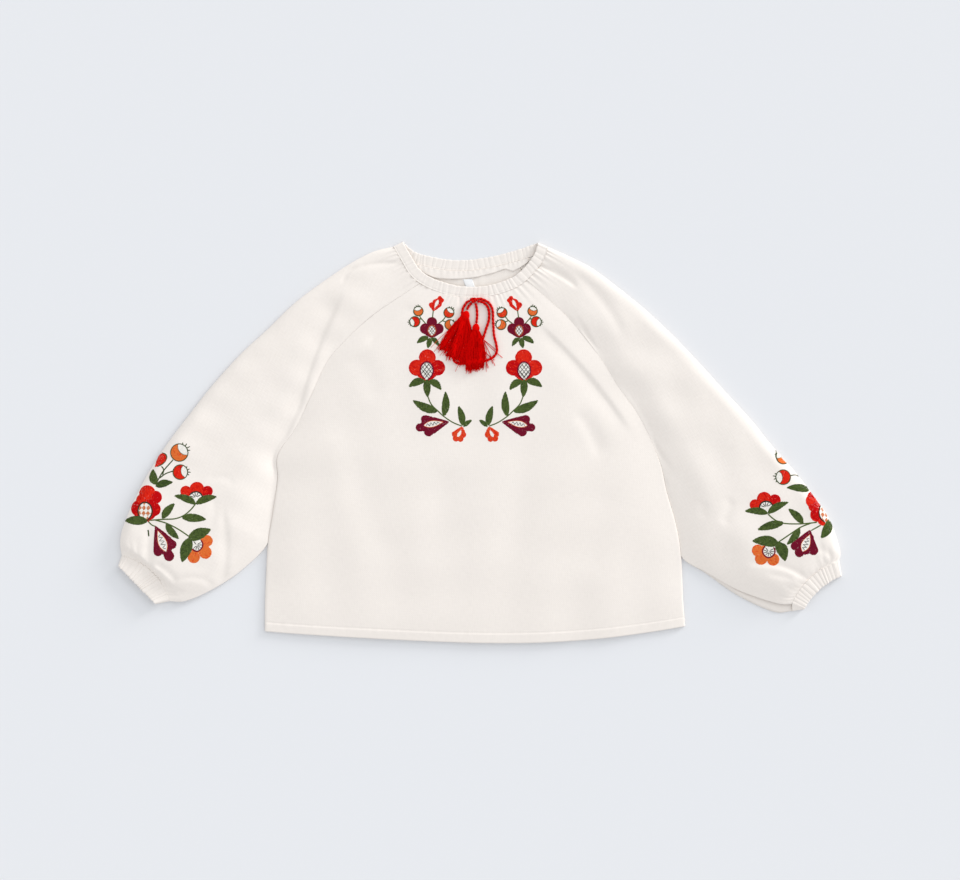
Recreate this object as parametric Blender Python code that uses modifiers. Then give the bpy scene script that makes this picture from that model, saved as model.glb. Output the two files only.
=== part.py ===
# Child's gathered blouse laid flat, with a drawstring and two tassels.
# Lengths are metres, X to the right and Y towards the neck as seen from above, Z up.
# The tables are in millimetres and mm() turns them into metres.
import math

import bpy
import numpy as np
from mathutils import Vector
from mathutils.bvhtree import BVHTree

WALL = 0.0010          # cloth thickness
SEAM_GAP = 0.00030     # gap between two pieces at a seam
CASING_WIDTH = 0.0107  # neck casing, edge to seam
CASING_TOP = 0.0045    # plain top of the front casing over the surface
CASING_GATHERS = 64    # gathers round the whole neck
CASING_RIB = 0.0008    # height of a neck gather
CUFF_GATHERS = 26      # gathers round one wrist
CUFF_RIB = 0.0009      # height of a wrist gather
HEM_STEP = 0.0004      # how far the turned hem stands out
FOLD_MIDDLE = 0.0019   # height of the outer fold's middle over the surface
CORD_THICK = 0.0022    # drawstring diameter
TASSEL_LAYERS = 3      # layers of strands in a tassel
LAYER_STRANDS = 9      # strands of one layer
FRONT_COLUMNS = 36     # cells across the front panel
ROW_STEPS = 2          # cells between two rows of a table

# Body rows from neck to hem: left point, right point, sag of the row's middle,
# height of the row's ends, and how far its middle stands over them.
BODY_ROWS = [
    # left_x, left_y, right_x, right_y, sag, end_z, loft
    (-60.0, 159.5, 47.0, 161.5, 14.7, 4.4, 0.6),
    (-82.0, 144.5, 65.0, 145.5, 19.0, 4.7, 1.2),
    (-104.0, 129.5, 82.0, 130.5, 20.0, 4.9, 2.0),
    (-128.0, 108.5, 100.0, 110.5, 17.0, 5.0, 2.4),
    (-152.0, 81.5, 120.0, 84.5, 12.0, 5.0, 2.8),
    (-169.0, 45.5, 139.0, 54.5, 7.0, 4.8, 3.2),
    (-184.0, 14.5, 162.0, 20.5, 3.0, 4.4, 3.6),
    (-202.0, -12.5, 180.0, -20.5, 1.0, 3.9, 4.0),
    (-202.5, -37.5, 187.0, -50.5, 1.0, 3.4, 4.2),
    (-207.5, -72.5, 196.0, -82.5, 2.0, 3.0, 4.2),
    (-212.0, -100.5, 201.0, -113.5, 4.0, 2.7, 4.0),
    (-214.5, -152.5, 203.0, -157.5, 9.0, 2.5, 2.8),
    (-215.0, -178.5, 204.4, -173.5, 13.0, 2.4, 1.6),
    (-215.0, -179.3, 204.5, -174.3, 13.0, 2.4, 1.5),
    (-215.0, -188.7, 205.0, -183.7, 14.0, 2.4, 0.9),
]
BODY_STEPS = [2, 2, 2, 2, 2, 2, 2, 2, 2, 2, 2, 2, 1, 1]
HEM_ROWS = 1           # cells of the front panel inside the turned hem
CORNER_ROW = 10        # where the sleeve comes out from the body

# Back panel's own top, which is cut higher than the front.
BACK_TOP = (-55.0, 175.0, 35.0, 179.6, 6.5)

# Sleeve rows from neck to wrist: outer fold, seam edge of the upper layer, seam edge of
# the lower layer, height of the upper seam edge, height over it, sideways bow.
SLEEVE_LEFT = [
    # outer_x, outer_y, upper_x, upper_y, lower_x, lower_y, seam_z, loft, bow
    (-86.0, 196.0, -60.0, 159.5, -56.0, 175.5, 4.4, 0.3, -2.5),
    (-107.0, 190.5, -82.0, 144.5, -78.0, 150.5, 4.7, 1.0, 0.0),
    (-130.0, 178.5, -104.0, 129.5, -104.0, 129.5, 4.9, 1.6, 0.0),
    (-157.0, 160.5, -128.0, 108.5, -128.0, 108.5, 5.0, 2.2, 0.0),
    (-185.0, 139.5, -152.0, 81.5, -152.0, 81.5, 5.0, 2.8, 0.0),
    (-212.0, 113.5, -169.0, 45.5, -169.0, 45.5, 4.8, 3.2, 0.0),
    (-240.0, 87.5, -184.0, 14.5, -184.0, 14.5, 4.4, 3.8, 0.0),
    (-268.0, 56.5, -202.0, -12.5, -202.0, -12.5, 3.7, 4.8, 0.0),
    (-290.0, 28.5, -202.5, -37.5, -202.5, -37.5, 2.9, 6.0, 0.0),
    (-312.0, -0.5, -207.5, -72.5, -207.5, -72.5, 2.6, 7.0, 0.0),
    (-332.0, -31.5, -212.0, -100.5, -212.0, -100.5, 2.5, 8.0, 0.0),
    (-347.0, -60.5, -237.0, -126.5, -237.0, -126.5, 2.5, 8.6, 0.0),
    (-357.0, -85.5, -265.0, -145.5, -265.0, -145.5, 2.8, 8.6, 0.0),
    (-359.5, -100.5, -293.0, -158.0, -293.0, -158.0, 3.4, 7.0, -3.5),
    (-358.0, -113.0, -310.0, -158.5, -310.0, -158.5, 3.8, 2.4, -9.5),
]
SLEEVE_RIGHT = [
    # outer_x, outer_y, upper_x, upper_y, lower_x, lower_y, seam_z, loft, bow
    (69.0, 194.9, 47.0, 161.5, 35.0, 180.0, 4.4, 0.3, -2.5),
    (92.0, 184.5, 65.0, 145.5, 61.0, 151.5, 4.7, 1.0, 0.0),
    (112.0, 174.0, 82.0, 130.5, 82.0, 130.5, 4.9, 1.6, 0.0),
    (135.0, 157.0, 100.0, 110.5, 100.0, 110.5, 5.0, 2.2, 0.0),
    (160.0, 137.0, 120.0, 84.5, 120.0, 84.5, 5.0, 2.8, 0.0),
    (188.0, 111.5, 139.0, 54.5, 139.0, 54.5, 4.8, 3.2, 0.0),
    (217.0, 81.5, 162.0, 20.5, 162.0, 20.5, 4.4, 3.8, 0.0),
    (246.0, 49.5, 180.0, -20.5, 180.0, -20.5, 3.7, 4.8, 0.0),
    (270.0, 23.5, 187.0, -50.5, 187.0, -50.5, 2.9, 6.0, 0.0),
    (291.0, -2.5, 196.0, -82.5, 196.0, -82.5, 2.6, 7.0, 0.0),
    (313.0, -27.5, 201.0, -113.5, 201.0, -113.5, 2.5, 8.0, 0.0),
    (332.0, -51.5, 226.0, -129.5, 226.0, -131.0, 2.6, 8.6, 0.0),
    (349.0, -76.5, 258.0, -147.5, 258.0, -153.0, 3.0, 8.6, 0.0),
    (359.5, -106.5, 296.0, -160.5, 293.0, -169.0, 3.6, 7.0, -2.5),
    (359.0, -118.5, 311.0, -161.5, 312.0, -168.5, 3.8, 2.4, -7.5),
]

# Free edge of the neck, seen from above: the front half, then the back half.
FRONT_EDGE = [
    # x, y
    (-77.0, 200.5), (-69.0, 186.5), (-61.0, 173.5), (-50.0, 165.5), (-38.0, 160.5),
    (-23.0, 156.5), (-8.0, 155.5), (7.0, 156.5), (22.0, 160.5), (35.0, 166.5),
    (45.0, 175.5), (54.0, 187.5), (58.0, 199.5),
]
BACK_EDGE = [
    # x, y
    (-77.0, 200.5), (-71.0, 194.5), (-63.0, 189.5), (-48.0, 185.5), (-30.0, 182.5),
    (-10.0, 182.5), (10.0, 185.5), (27.0, 189.5), (44.0, 194.5), (52.0, 197.5),
    (58.0, 199.5),
]
# Free edge of the back neck facing, from left to right.
FACING_EDGE = [
    # x, y
    (-66.0, 174.0), (-51.0, 166.5), (-40.0, 163.5), (-20.0, 163.5), (-5.0, 165.0),
    (10.0, 168.5), (25.0, 173.5), (34.0, 171.5), (48.0, 180.0),
]

# Wrist casings: ends of the seam line and of the free edge, their bows, plain top.
CUFFS = {
    # seam outer x, y, seam inner x, y, edge outer x, y, edge inner x, y, bows, tops,
    # and the seam's inner end in the lower layer
    "cuff_left": (-358.2, -113.4, -310.4, -158.9, -361.5, -122.8, -324.0, -161.5,
                  -9.5, 0.0, 5.2, 4.4, -310.4, -158.9),
    "cuff_right": (359.2, -118.9, 311.3, -161.9, 361.5, -133.5, 324.0, -166.5,
                   -7.5, -4.5, 5.2, 4.4, 313.2, -169.2),
}

# Largest creases: a line from x0, y0 to x1, y1 bowed sideways, its width and depth.
# A negative depth is a trough, a positive one a ridge.
FRONT_CREASES = [
    # x0, y0, x1, y1, bow, width, depth
    (-62.0, 132.0, -112.0, 98.0, 3.0, 9.0, -0.9),
    (60.0, 114.0, 146.0, 14.0, 6.0, 11.0, -1.4),
    (98.0, 30.0, 122.0, -20.0, 2.0, 12.0, -1.2),
    (-120.0, -20.0, -96.0, -110.0, -6.0, 16.0, -0.9),
    (-40.0, -20.0, -52.0, -120.0, 5.0, 15.0, -0.7),
    (40.0, 0.0, 30.0, -110.0, 5.0, 15.0, -0.8),
    (130.0, -50.0, 112.0, -130.0, -4.0, 14.0, -0.8),
    (-150.0, 10.0, -140.0, -70.0, 4.0, 14.0, 0.8),
]
LEFT_CREASES = [
    # x0, y0, x1, y1, bow, width, depth
    (-142.0, 142.0, -172.0, 58.0, -3.0, 8.0, -1.6),
    (-80.0, 178.0, -132.0, 172.0, 4.0, 7.0, -1.0),
    (-255.0, -64.0, -258.0, -140.0, 5.0, 8.0, -2.6),
    (-278.0, -36.0, -240.0, -44.0, 10.0, 8.0, -1.8),
    (-330.0, -88.0, -331.0, -124.0, 2.0, 6.0, -2.6),
    (-322.0, -122.0, -268.0, -140.0, 6.0, 7.0, -1.6),
]
RIGHT_CREASES = [
    # x0, y0, x1, y1, bow, width, depth
    (103.0, 110.0, 178.0, -10.0, -4.0, 8.0, -2.0),
    (70.0, 172.0, 142.0, 108.0, 4.0, 8.0, -1.4),
    (250.0, -54.0, 240.0, -84.0, 3.0, 9.0, -2.0),
    (268.0, -112.0, 320.0, -134.0, 6.0, 7.0, -2.2),
    (222.0, 10.0, 214.0, -70.0, 4.0, 14.0, -1.4),
    (334.0, -104.0, 352.0, -112.0, 2.0, 6.0, -1.4),
]

# Cord runs over the front panel as x, y, each starting in the knot.
CORD_RUNS = {
    "cord_outer_loop": [
        (-2.6, 143.2), (1.6, 143.1), (8.7, 139.3), (12.5, 132.2), (13.0, 121.7),
        (13.9, 107.6), (16.3, 97.0), (16.6, 90.0), (13.0, 85.0), (6.0, 81.6),
        (-4.0, 79.6), (-14.0, 78.8), (-21.0, 78.6), (-26.0, 82.0), (-26.4, 92.0),
        (-23.0, 104.0), (-19.6, 114.0), (-18.3, 124.0), (-17.2, 133.0), (-13.4, 139.4),
        (-10.4, 141.2)],
    "cord_inner_loop": [
        (-2.2, 140.6), (2.6, 139.9), (7.0, 136.0), (8.9, 130.6), (8.7, 121.7),
        (5.7, 112.3), (3.2, 104.0), (0.4, 98.0)],
    "cord_left": [(-8.6, 138.8), (-11.0, 136.2), (-12.9, 132.7)],
    "cord_right": [(-4.4, 138.6), (-3.2, 133.0), (-2.9, 126.0), (-3.6, 119.3)],
}
# Tassels: head centre, skirt's two end corners, head radius.
TASSELS = {
    # head_x, head_y, end_left_x, end_left_y, end_right_x, end_right_y, radius
    "tassel_left": (-14.0, 127.6, -42.0, 94.5, -14.5, 76.0, 4.0),
    "tassel_right": (-4.0, 114.5, -14.0, 74.5, 6.5, 76.5, 3.8),
}
KNOT = (-6.3, 141.9, 3.6, 2.9)  # centre x, y, half length, half width

LINEN = (0.86, 0.82, 0.76, 1.0)
RED = (0.50, 0.01, 0.01, 1.0)
WHITE = (0.90, 0.90, 0.88, 1.0)


def mm(value):
    """Millimetres to metres."""
    return value * 0.001


def clear_scene():
    for item in list(bpy.data.objects):
        bpy.data.objects.remove(item, do_unlink=True)


def material(name, colour):
    mat = bpy.data.materials.new(name)
    mat.use_nodes = True
    shader = mat.node_tree.nodes["Principled BSDF"]
    shader.inputs["Base Color"].default_value = colour
    shader.inputs["Roughness"].default_value = 0.9
    return mat


def spline(points, steps):
    """Catmull-Rom curve through the rows of a table, with its steps for each interval."""
    rows = np.asarray(points, dtype=float)
    count = len(rows) - 1
    if isinstance(steps, int):
        steps = [steps] * count
    ends = np.vstack([2 * rows[0] - rows[1], rows, 2 * rows[-1] - rows[-2]])
    out = [rows[0]]
    for i in range(count):
        p0, p1, p2, p3 = ends[i:i + 4]
        for k in range(1, steps[i] + 1):
            t = k / steps[i]
            out.append(0.5 * (2 * p1 + (p2 - p0) * t + (2 * p0 - 5 * p1 + 4 * p2 - p3) * t ** 2
                              + (3 * p1 - p0 - 3 * p2 + p3) * t ** 3))
    return np.array(out)


def resample(points, count):
    """Points at equal distances along a polyline."""
    rows = np.asarray(points, dtype=float)
    lengths = np.linalg.norm(np.diff(rows, axis=0), axis=1)
    at = np.concatenate([[0.0], np.cumsum(lengths)])
    want = np.linspace(0.0, at[-1], count)
    return np.stack([np.interp(want, at, rows[:, k]) for k in range(rows.shape[1])], axis=1)


def creased(x, y, table):
    """Height change in millimetres that the creases of a table give at x, y."""
    total = np.zeros_like(x)
    for x0, y0, x1, y1, bow, width, depth in table:
        length = math.hypot(x1 - x0, y1 - y0)
        ux, uy = (x1 - x0) / length, (y1 - y0) / length
        along = ((x - x0) * ux + (y - y0) * uy) / length
        side = (y - y0) * ux - (x - x0) * uy
        side = side - bow * 4 * np.clip(along, 0, 1) * (1 - np.clip(along, 0, 1))
        fade = np.exp(-(np.clip(np.abs(along - 0.5) - 0.38, 0, None) / 0.13) ** 2)
        total += depth * fade * np.exp(-(side / width) ** 2)
    return total


def grid_faces(rows, columns, closed=False):
    faces = []
    for i in range(rows - 1 if not closed else rows):
        for j in range(columns - 1):
            a = i * columns + j
            b = ((i + 1) % rows) * columns + j
            faces.append((a, b, b + 1, a + 1))
    return faces


def cloth(name, points, mat, closed=False, flip=False, raise_outer=None, raise_inner=None):
    """Shell of WALL thickness under a grid of outer points, then raised by the given heights."""
    rows, columns = points.shape[:2]
    faces = grid_faces(rows, columns, closed)
    if flip:
        faces = [tuple(reversed(face)) for face in faces]
    mesh = bpy.data.meshes.new(name)
    mesh.from_pydata([tuple(p) for p in points.reshape(-1, 3)], [], faces)
    mesh.update()
    obj = bpy.data.objects.new(name, mesh)
    collection.objects.link(obj)
    solid = obj.modifiers.new("wall", "SOLIDIFY")
    solid.thickness = WALL
    solid.offset = -1.0
    solid.use_rim = True
    if raise_outer is not None or raise_inner is not None:
        apply_modifiers(obj)
        count = rows * columns
        for first, heights in ((0, raise_outer), (count, raise_inner)):
            if heights is None:
                continue
            for k, height in enumerate(heights.reshape(-1)):
                obj.data.vertices[first + k].co.z += float(height)
    finish(obj, mat)
    return obj


def apply_modifiers(obj):
    graph = bpy.context.evaluated_depsgraph_get()
    mesh = bpy.data.meshes.new_from_object(obj.evaluated_get(graph))
    obj.modifiers.clear()
    obj.data = mesh


def finish(obj, mat):
    obj.data.materials.clear()
    obj.data.materials.append(mat)
    obj.data.shade_smooth()


def spread(count):
    """Fractions across a panel, a little closer together at its two edges."""
    even = np.linspace(0.0, 1.0, count + 1)
    return 0.6 * even + 0.4 * (0.5 - 0.5 * np.cos(math.pi * even))


def casing_curves():
    """Free edge and seam line of the front and back casing, as dense polylines."""
    curves = {}
    for half, table in (("front", FRONT_EDGE), ("back", BACK_EDGE)):
        edge = resample(spline(table, 12), 241)
        tangent = np.gradient(edge, axis=0)
        tangent /= np.linalg.norm(tangent, axis=1)[:, None]
        normal = np.stack([tangent[:, 1], -tangent[:, 0]], axis=1)
        left = np.array([-0.894, -0.447])
        right = np.array([0.923, -0.385])
        at = np.linspace(0.0, 1.0, len(edge))
        mix_left = np.clip(1 - at / 0.07, 0, 1)[:, None]
        mix_right = np.clip(1 - (1 - at) / 0.07, 0, 1)[:, None]
        normal = normal * (1 - mix_left - mix_right) + left * mix_left + right * mix_right
        normal /= np.linalg.norm(normal, axis=1)[:, None]
        curves[half] = (edge, edge + normal * CASING_WIDTH * 1000, normal)
    return curves


def seam_part(half, start, end, fractions, gap=SEAM_GAP):
    """Points on a casing's seam between the places nearest to start and end, past the gap."""
    seam = curves[half][1] + curves[half][2] * gap * 1000
    first = int(np.argmin(np.linalg.norm(seam - np.array(start), axis=1)))
    last = int(np.argmin(np.linalg.norm(seam - np.array(end), axis=1)))
    at = first + (last - first) * np.asarray(fractions)
    index = np.arange(len(seam))
    return np.stack([np.interp(at, index, seam[:, k]) for k in range(2)], axis=1)


def body_grid(table, steps, columns, top, inset):
    """Plan of a body panel: rows by columns of x, y, and each row's end height and loft."""
    rows = spline(table, steps)
    s = spread(columns)
    grid = np.zeros((len(rows), columns + 1, 2))
    for i, (lx, ly, rx, ry, sag) in enumerate(rows[:, :5]):
        cut = inset / math.hypot(rx - lx, ry - ly)
        t = cut + (1 - 2 * cut) * s
        grid[i, :, 0] = lx + (rx - lx) * t
        grid[i, :, 1] = ly + (ry - ly) * t - sag * 4 * t * (1 - t)
        if i > 2 * CORNER_ROW:
            grid[i, :, 1] += 0.16 * sag * np.sin(2 * math.pi * t)
    cut = inset / math.hypot(rows[0][2] - rows[0][0], rows[0][3] - rows[0][1])
    shift = top(cut + (1 - 2 * cut) * s) - grid[0]
    for i in range(8):
        grid[i] += shift * (1 - i / 8.0) ** 2
    return grid, s, rows


def front_panel(mat):
    def top(s):
        return seam_part("front", BODY_ROWS[0][:2], BODY_ROWS[0][2:4], s)
    grid, s, rows = body_grid(BODY_ROWS, BODY_STEPS, FRONT_COLUMNS, top, 0.25)
    bulge = 1 - np.abs(2 * s - 1) ** 6
    height = rows[:, 5:6] + rows[:, 6:7] * bulge[None, :]
    height += creased(grid[..., 0], grid[..., 1], FRONT_CREASES)
    pucker = 0.5 * np.sin(s * 2 * math.pi * 10 + 0.6 * np.sin(9 * s))
    for i in range(5):
        height[i] += pucker * (1 - i / 5.0)
    height = np.maximum(height, 2.35)
    points = np.dstack([grid, height]) * 0.001
    raised = np.zeros(height.shape)
    raised[-1 - HEM_ROWS:] = HEM_STEP
    return cloth("front_panel", points, mat, raise_outer=raised)


def back_rows():
    rows = [list(row[:5]) for row in BODY_ROWS]
    rows[0][:4] = BACK_TOP[:4]
    rows[0][4] = BACK_TOP[4]
    rows[1][:4] = SLEEVE_LEFT[1][4:6] + SLEEVE_RIGHT[1][4:6]
    return rows


def back_panel(mat):
    def top(s):
        return seam_part("back", BACK_TOP[:2], BACK_TOP[2:4], s)
    grid, s, rows = body_grid(back_rows(), BODY_STEPS, 14, top, 0.4)
    points = np.dstack([grid * 0.001, np.full(grid.shape[:2], WALL)])
    keep = [i for i in range(len(rows)) if i < 16 or i % 2 == 0 or i == len(rows) - 1]
    return cloth("back_panel", points[keep], mat)


def sleeve(name, table, side, mat):
    rows = spline(table, ROW_STEPS)
    body = spline(BODY_ROWS, BODY_STEPS)
    back = spline(back_rows(), BODY_STEPS)
    shared = 2 * CORNER_ROW + 1
    first = 0 if side < 0 else 2
    rows[:shared, 2:4] = body[:shared, first:first + 2]
    rows[:shared, 4:6] = back[:shared, first:first + 2]
    half_top = (table[0][2:4], table[0][4:6])
    fold = curves["front"][0][0 if side < 0 else -1]
    fold = fold + curves["front"][2][0 if side < 0 else -1] * (CASING_WIDTH + SEAM_GAP) * 1000
    middle = FOLD_MIDDLE * 1000
    creases = LEFT_CREASES if side < 0 else RIGHT_CREASES
    upper_s = np.sin(np.linspace(0, 1, 10) * math.pi / 2 * 0.86) / math.sin(math.pi / 2 * 0.86)
    nose = np.array([60.0, 28.0, 0.0, -32.0, -64.0])
    lower_s = np.array([1.0, 0.86, 0.62, 0.32, 0.0])
    grid = []
    for i, row in enumerate(rows):
        outer, upper, lower = row[0:2], row[2:4], row[4:6]
        seam_z, loft, bow = row[6:9]
        blend = max(0.0, 1 - i / 6.0) ** 2
        length = np.linalg.norm(outer - upper)
        low_length = np.linalg.norm(outer - lower)
        crown = max(seam_z + loft, 3.6)
        wide = min(11.0, (crown - middle) ** 2 / 1.5)
        flat = 2.0

        def place(start, end, fraction, cut, half, bend):
            t = cut + (1 - cut) * fraction
            line = end - start
            across = np.array([-line[1], line[0]]) / np.linalg.norm(line) * side
            point = start + line * t - across * bend * 4 * t * (1 - t)
            if blend > 0:
                top_start = half_top[0] if half == "front" else half_top[1]
                gap = SEAM_GAP if half == "front" else SEAM_GAP * 3
                seam = seam_part(half, top_start, fold, [t], gap)[0]
                base = rows[0][2:4] if half == "front" else rows[0][4:6]
                base_line = rows[0][0:2] - base
                straight = base + base_line * t
                across0 = np.array([-base_line[1], base_line[0]])
                across0 = across0 / np.linalg.norm(base_line) * side
                straight = straight - across0 * rows[0][8] * 4 * t * (1 - t)
                point = point + (seam - straight) * blend
            return point

        section = []
        for s in upper_s:
            fraction = s * (1 - wide / length)
            x, y = place(upper, outer, fraction, 0.25 / length, "front", bow)
            rise = math.sin(math.pi / 2 * min(1.0, s / 0.4))
            z = seam_z + (crown - seam_z) * rise
            z += float(creased(np.array([x]), np.array([y]), creases)[0])
            section.append((x, y, max(z, 2.4)))
        end_z = max(section[-1][2], 3.5)
        section[-1] = (section[-1][0], section[-1][1], end_z)
        for angle in nose:
            c, q = math.cos(math.radians(angle)), math.sin(math.radians(angle))
            if angle >= 0:
                x, y = place(upper, outer, 1 - wide * (1 - c) / length, 0.25 / length,
                             "front", bow)
                section.append((x, y, middle + (end_z - middle) * q))
            else:
                x, y = place(lower, outer, 1 - flat * (1 - c) / low_length,
                             0.25 / low_length, "back", bow)
                section.append((x, y, middle + middle * q))
        for s in lower_s:
            fraction = s * (1 - flat / low_length)
            x, y = place(lower, outer, fraction, 0.25 / low_length, "back", bow)
            section.append((x, y, 0.0))
        grid.append(section)
    return cloth(name, np.array(grid) * 0.001, mat, flip=side < 0)


def ring(name, stations, heights, ribs_up, ribs_in, across, mat, flip):
    """Closed gathered band: each station is its two edge points, height and rib."""
    grid = np.zeros((len(stations), len(across), 3))
    up = np.zeros(grid.shape[:2])
    inside = np.zeros(grid.shape[:2])
    for i, (a, b) in enumerate(stations):
        for j, v in enumerate(across):
            grid[i, j, :2] = np.asarray(a) * (1 - v) + np.asarray(b) * v
            grid[i, j, 2] = heights[i][j]
            weight = 1.0 if 0 < v < 1 else 0.75
            up[i, j] = ribs_up[i] * weight
            inside[i, j] = ribs_in[i] * weight
    return cloth(name, grid * 0.001, mat, closed=True, flip=flip, raise_outer=up,
                 raise_inner=inside)


def neck_casing(mat):
    top, middle = CASING_TOP * 1000, CASING_TOP * 500
    stations, heights, ups, ins = [], [], [], []
    front_steps = CASING_GATHERS + 10
    back_steps = 2 * CASING_GATHERS - front_steps
    across = (0.0, 0.5, 1.0)

    def at(half, fraction):
        edge, seam = curves[half][:2]
        index = np.arange(len(edge))
        k = fraction * (len(edge) - 1)
        return (np.array([np.interp(k, index, edge[:, c]) for c in range(2)]),
                np.array([np.interp(k, index, seam[:, c]) for c in range(2)]))

    def add(half, fraction, z, rib):
        stations.append(at(half, fraction))
        heights.append((z, z, z))
        ups.append(rib if half == "front" else 0.0)
        ins.append(rib if half == "back" else 0.0)

    span = {h: np.linalg.norm(np.diff(curves[h][0], axis=0), axis=1).sum()
            for h in ("front", "back")}
    part = {h: middle / span[h] for h in span}
    for k in range(front_steps + 1):
        add("front", part["front"] + (1 - 2 * part["front"]) * k / front_steps, top,
            CASING_RIB * (k % 2))
    for angle in (60, 30, 0, -30, -60):
        c, q = math.cos(math.radians(angle)), math.sin(math.radians(angle))
        half = "front" if angle >= 0 else "back"
        add(half, 1 - part[half] * (1 - c), middle * (1 + q), 0.0)
    for k in range(back_steps + 1):
        add("back", 1 - part["back"] - (1 - 2 * part["back"]) * k / back_steps, 0.0,
            CASING_RIB * 0.8 * (k % 2))
    for angle in (-60, -30, 0, 30, 60):
        c, q = math.cos(math.radians(angle)), math.sin(math.radians(angle))
        half = "front" if angle >= 0 else "back"
        add(half, part[half] * (1 - c), middle * (1 + q), 0.0)
    return ring("neck_casing", stations, heights, ups, ins, across, mat, True)


def cuff(name, side, mat):
    values = CUFFS[name]
    seam_outer, seam_inner = np.array(values[0:2]), np.array(values[2:4])
    edge_outer, edge_inner = np.array(values[4:6]), np.array(values[6:8])
    seam_bow, edge_bow, seam_top, edge_top = values[8:12]
    seam_low = np.array(values[12:14])
    across = (0.0, 0.5, 1.0)
    tops = [seam_top + (edge_top - seam_top) * v for v in across]
    wide = 2.4
    mid = 2.1
    middle_length = np.linalg.norm(seam_outer - seam_inner)

    def place(fraction, low):
        pair = []
        corner = seam_inner * (1 - low) + seam_low * low
        for inner, outer, bow in ((corner, seam_outer, seam_bow),
                                  (edge_inner, edge_outer, edge_bow)):
            line = outer - inner
            bend = np.array([-line[1], line[0]]) / np.linalg.norm(line) * side
            pair.append(inner + line * fraction - bend * bow * 4 * fraction * (1 - fraction))
        gap = (pair[1] - pair[0]) / np.linalg.norm(pair[1] - pair[0]) * SEAM_GAP * 2000
        return pair[0] + gap, pair[1]

    stations, heights, ups = [], [], []
    nose = wide / middle_length
    steps = CUFF_GATHERS
    for k in range(steps + 1):
        stations.append(place(nose + (1 - 2 * nose) * k / steps, 0.0))
        heights.append(tops)
        ups.append(CUFF_RIB * (k % 2))
    for angle in (60, 30, 0, -30, -60):
        c, q = math.cos(math.radians(angle)), math.sin(math.radians(angle))
        stations.append(place(1 - nose * (1 - c), 1.0 - max(0.0, q)))
        heights.append([mid + (t - mid) * q if q > 0 else mid + mid * q for t in tops])
        ups.append(0.0)
    for k in range(9):
        stations.append(place(1 - nose - (1 - 2 * nose) * k / 8, 1.0))
        heights.append([0.0] * 3)
        ups.append(0.0)
    for angle in (-60, -30, 0, 30, 60):
        c, q = math.cos(math.radians(angle)), math.sin(math.radians(angle))
        stations.append(place(nose * (1 - c), 1.0 - max(0.0, q)))
        heights.append([mid + (t - mid) * q if q > 0 else mid + mid * q for t in tops])
        ups.append(0.0)
    return ring(name, stations, heights, ups, [0.0] * len(ups), across, mat, side > 0)


def back_facing(mat):
    edge = resample(spline(FACING_EDGE, 6), 25)
    seam = curves["back"][1] + curves["back"][2] * SEAM_GAP * 1000
    first = int(np.argmin(np.abs(seam[:, 0] - FACING_EDGE[0][0])))
    last = int(np.argmin(np.abs(seam[:, 0] - FACING_EDGE[-1][0])))
    top = resample(seam[first:last + 1], 25)
    rows = []
    for v in (0.0, 0.5, 1.0):
        row = top * (1 - v) + edge * v
        rows.append(np.column_stack([row, np.full(25, (WALL * 2 + SEAM_GAP) * 1000)]))
    return cloth("back_facing", np.array(rows) * 0.001, mat)


def neck_label(mat):
    corners = {"top": ((-17.2, 163.7), (-7.9, 164.4)), "low": ((-10.4, 146.0), (-1.2, 146.0))}
    rows = []
    for v in (0.0, 0.33, 0.66, 1.0):
        row = []
        for u in (0.0, 0.5, 1.0):
            a = np.array(corners["top"][0]) * (1 - u) + np.array(corners["top"][1]) * u
            b = np.array(corners["low"][0]) * (1 - u) + np.array(corners["low"][1]) * u
            point = a * (1 - v) + b * v
            row.append((point[0], point[1], (WALL * 2 + SEAM_GAP) * 1000))
        rows.append(row)
    points = np.array(rows) * 0.001
    points[..., 1] -= mm(0.9)
    return cloth("neck_label", points, mat)


def surface_under(objects):
    """Height over a place: the highest point of the objects within a small distance."""
    trees = []
    graph = bpy.context.evaluated_depsgraph_get()
    for obj in objects:
        trees.append(BVHTree.FromObject(obj, graph))

    def height(x, y, reach):
        best = None
        for k in range(25):
            angle = k * math.pi / 4
            radius = reach * math.ceil(k / 8) / 3
            start = Vector((x + radius * math.cos(angle), y + radius * math.sin(angle), 0.1))
            for tree in trees:
                hit = tree.ray_cast(start, Vector((0, 0, -1)))[0]
                if hit is not None and (best is None or hit.z > best):
                    best = hit.z
        return best
    return height


def tube(name, points, radii, mat, resolution=2):
    curve = bpy.data.curves.new(name, "CURVE")
    curve.dimensions = "3D"
    curve.bevel_depth = 1.0
    curve.bevel_resolution = resolution
    curve.use_fill_caps = True
    for line, radius in zip(points, radii):
        run = curve.splines.new("POLY")
        run.points.add(len(line) - 1)
        for k, point in enumerate(line):
            run.points[k].co = (point[0], point[1], point[2], 1.0)
            run.points[k].radius = radius[k]
    obj = bpy.data.objects.new(name, curve)
    collection.objects.link(obj)
    curve.materials.append(mat)
    return obj


def cord(name, height, mat):
    route = spline(CORD_RUNS[name], 6)
    length = np.linalg.norm(np.diff(route, axis=0), axis=1).sum()
    route = resample(route, max(4, int(round(length / 5.0)) + 1)) * 0.001
    radius = CORD_THICK / 2
    line = []
    for x, y in route:
        line.append((x, y, height(x, y, radius * 1.6) + SEAM_GAP + radius))
    smooth = np.array(line)
    smooth[1:-1, 2] = np.maximum(smooth[1:-1, 2], 0.5 * (smooth[:-2, 2] + smooth[2:, 2]))
    return tube(name, [smooth], [[radius] * len(smooth)], mat)


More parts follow.
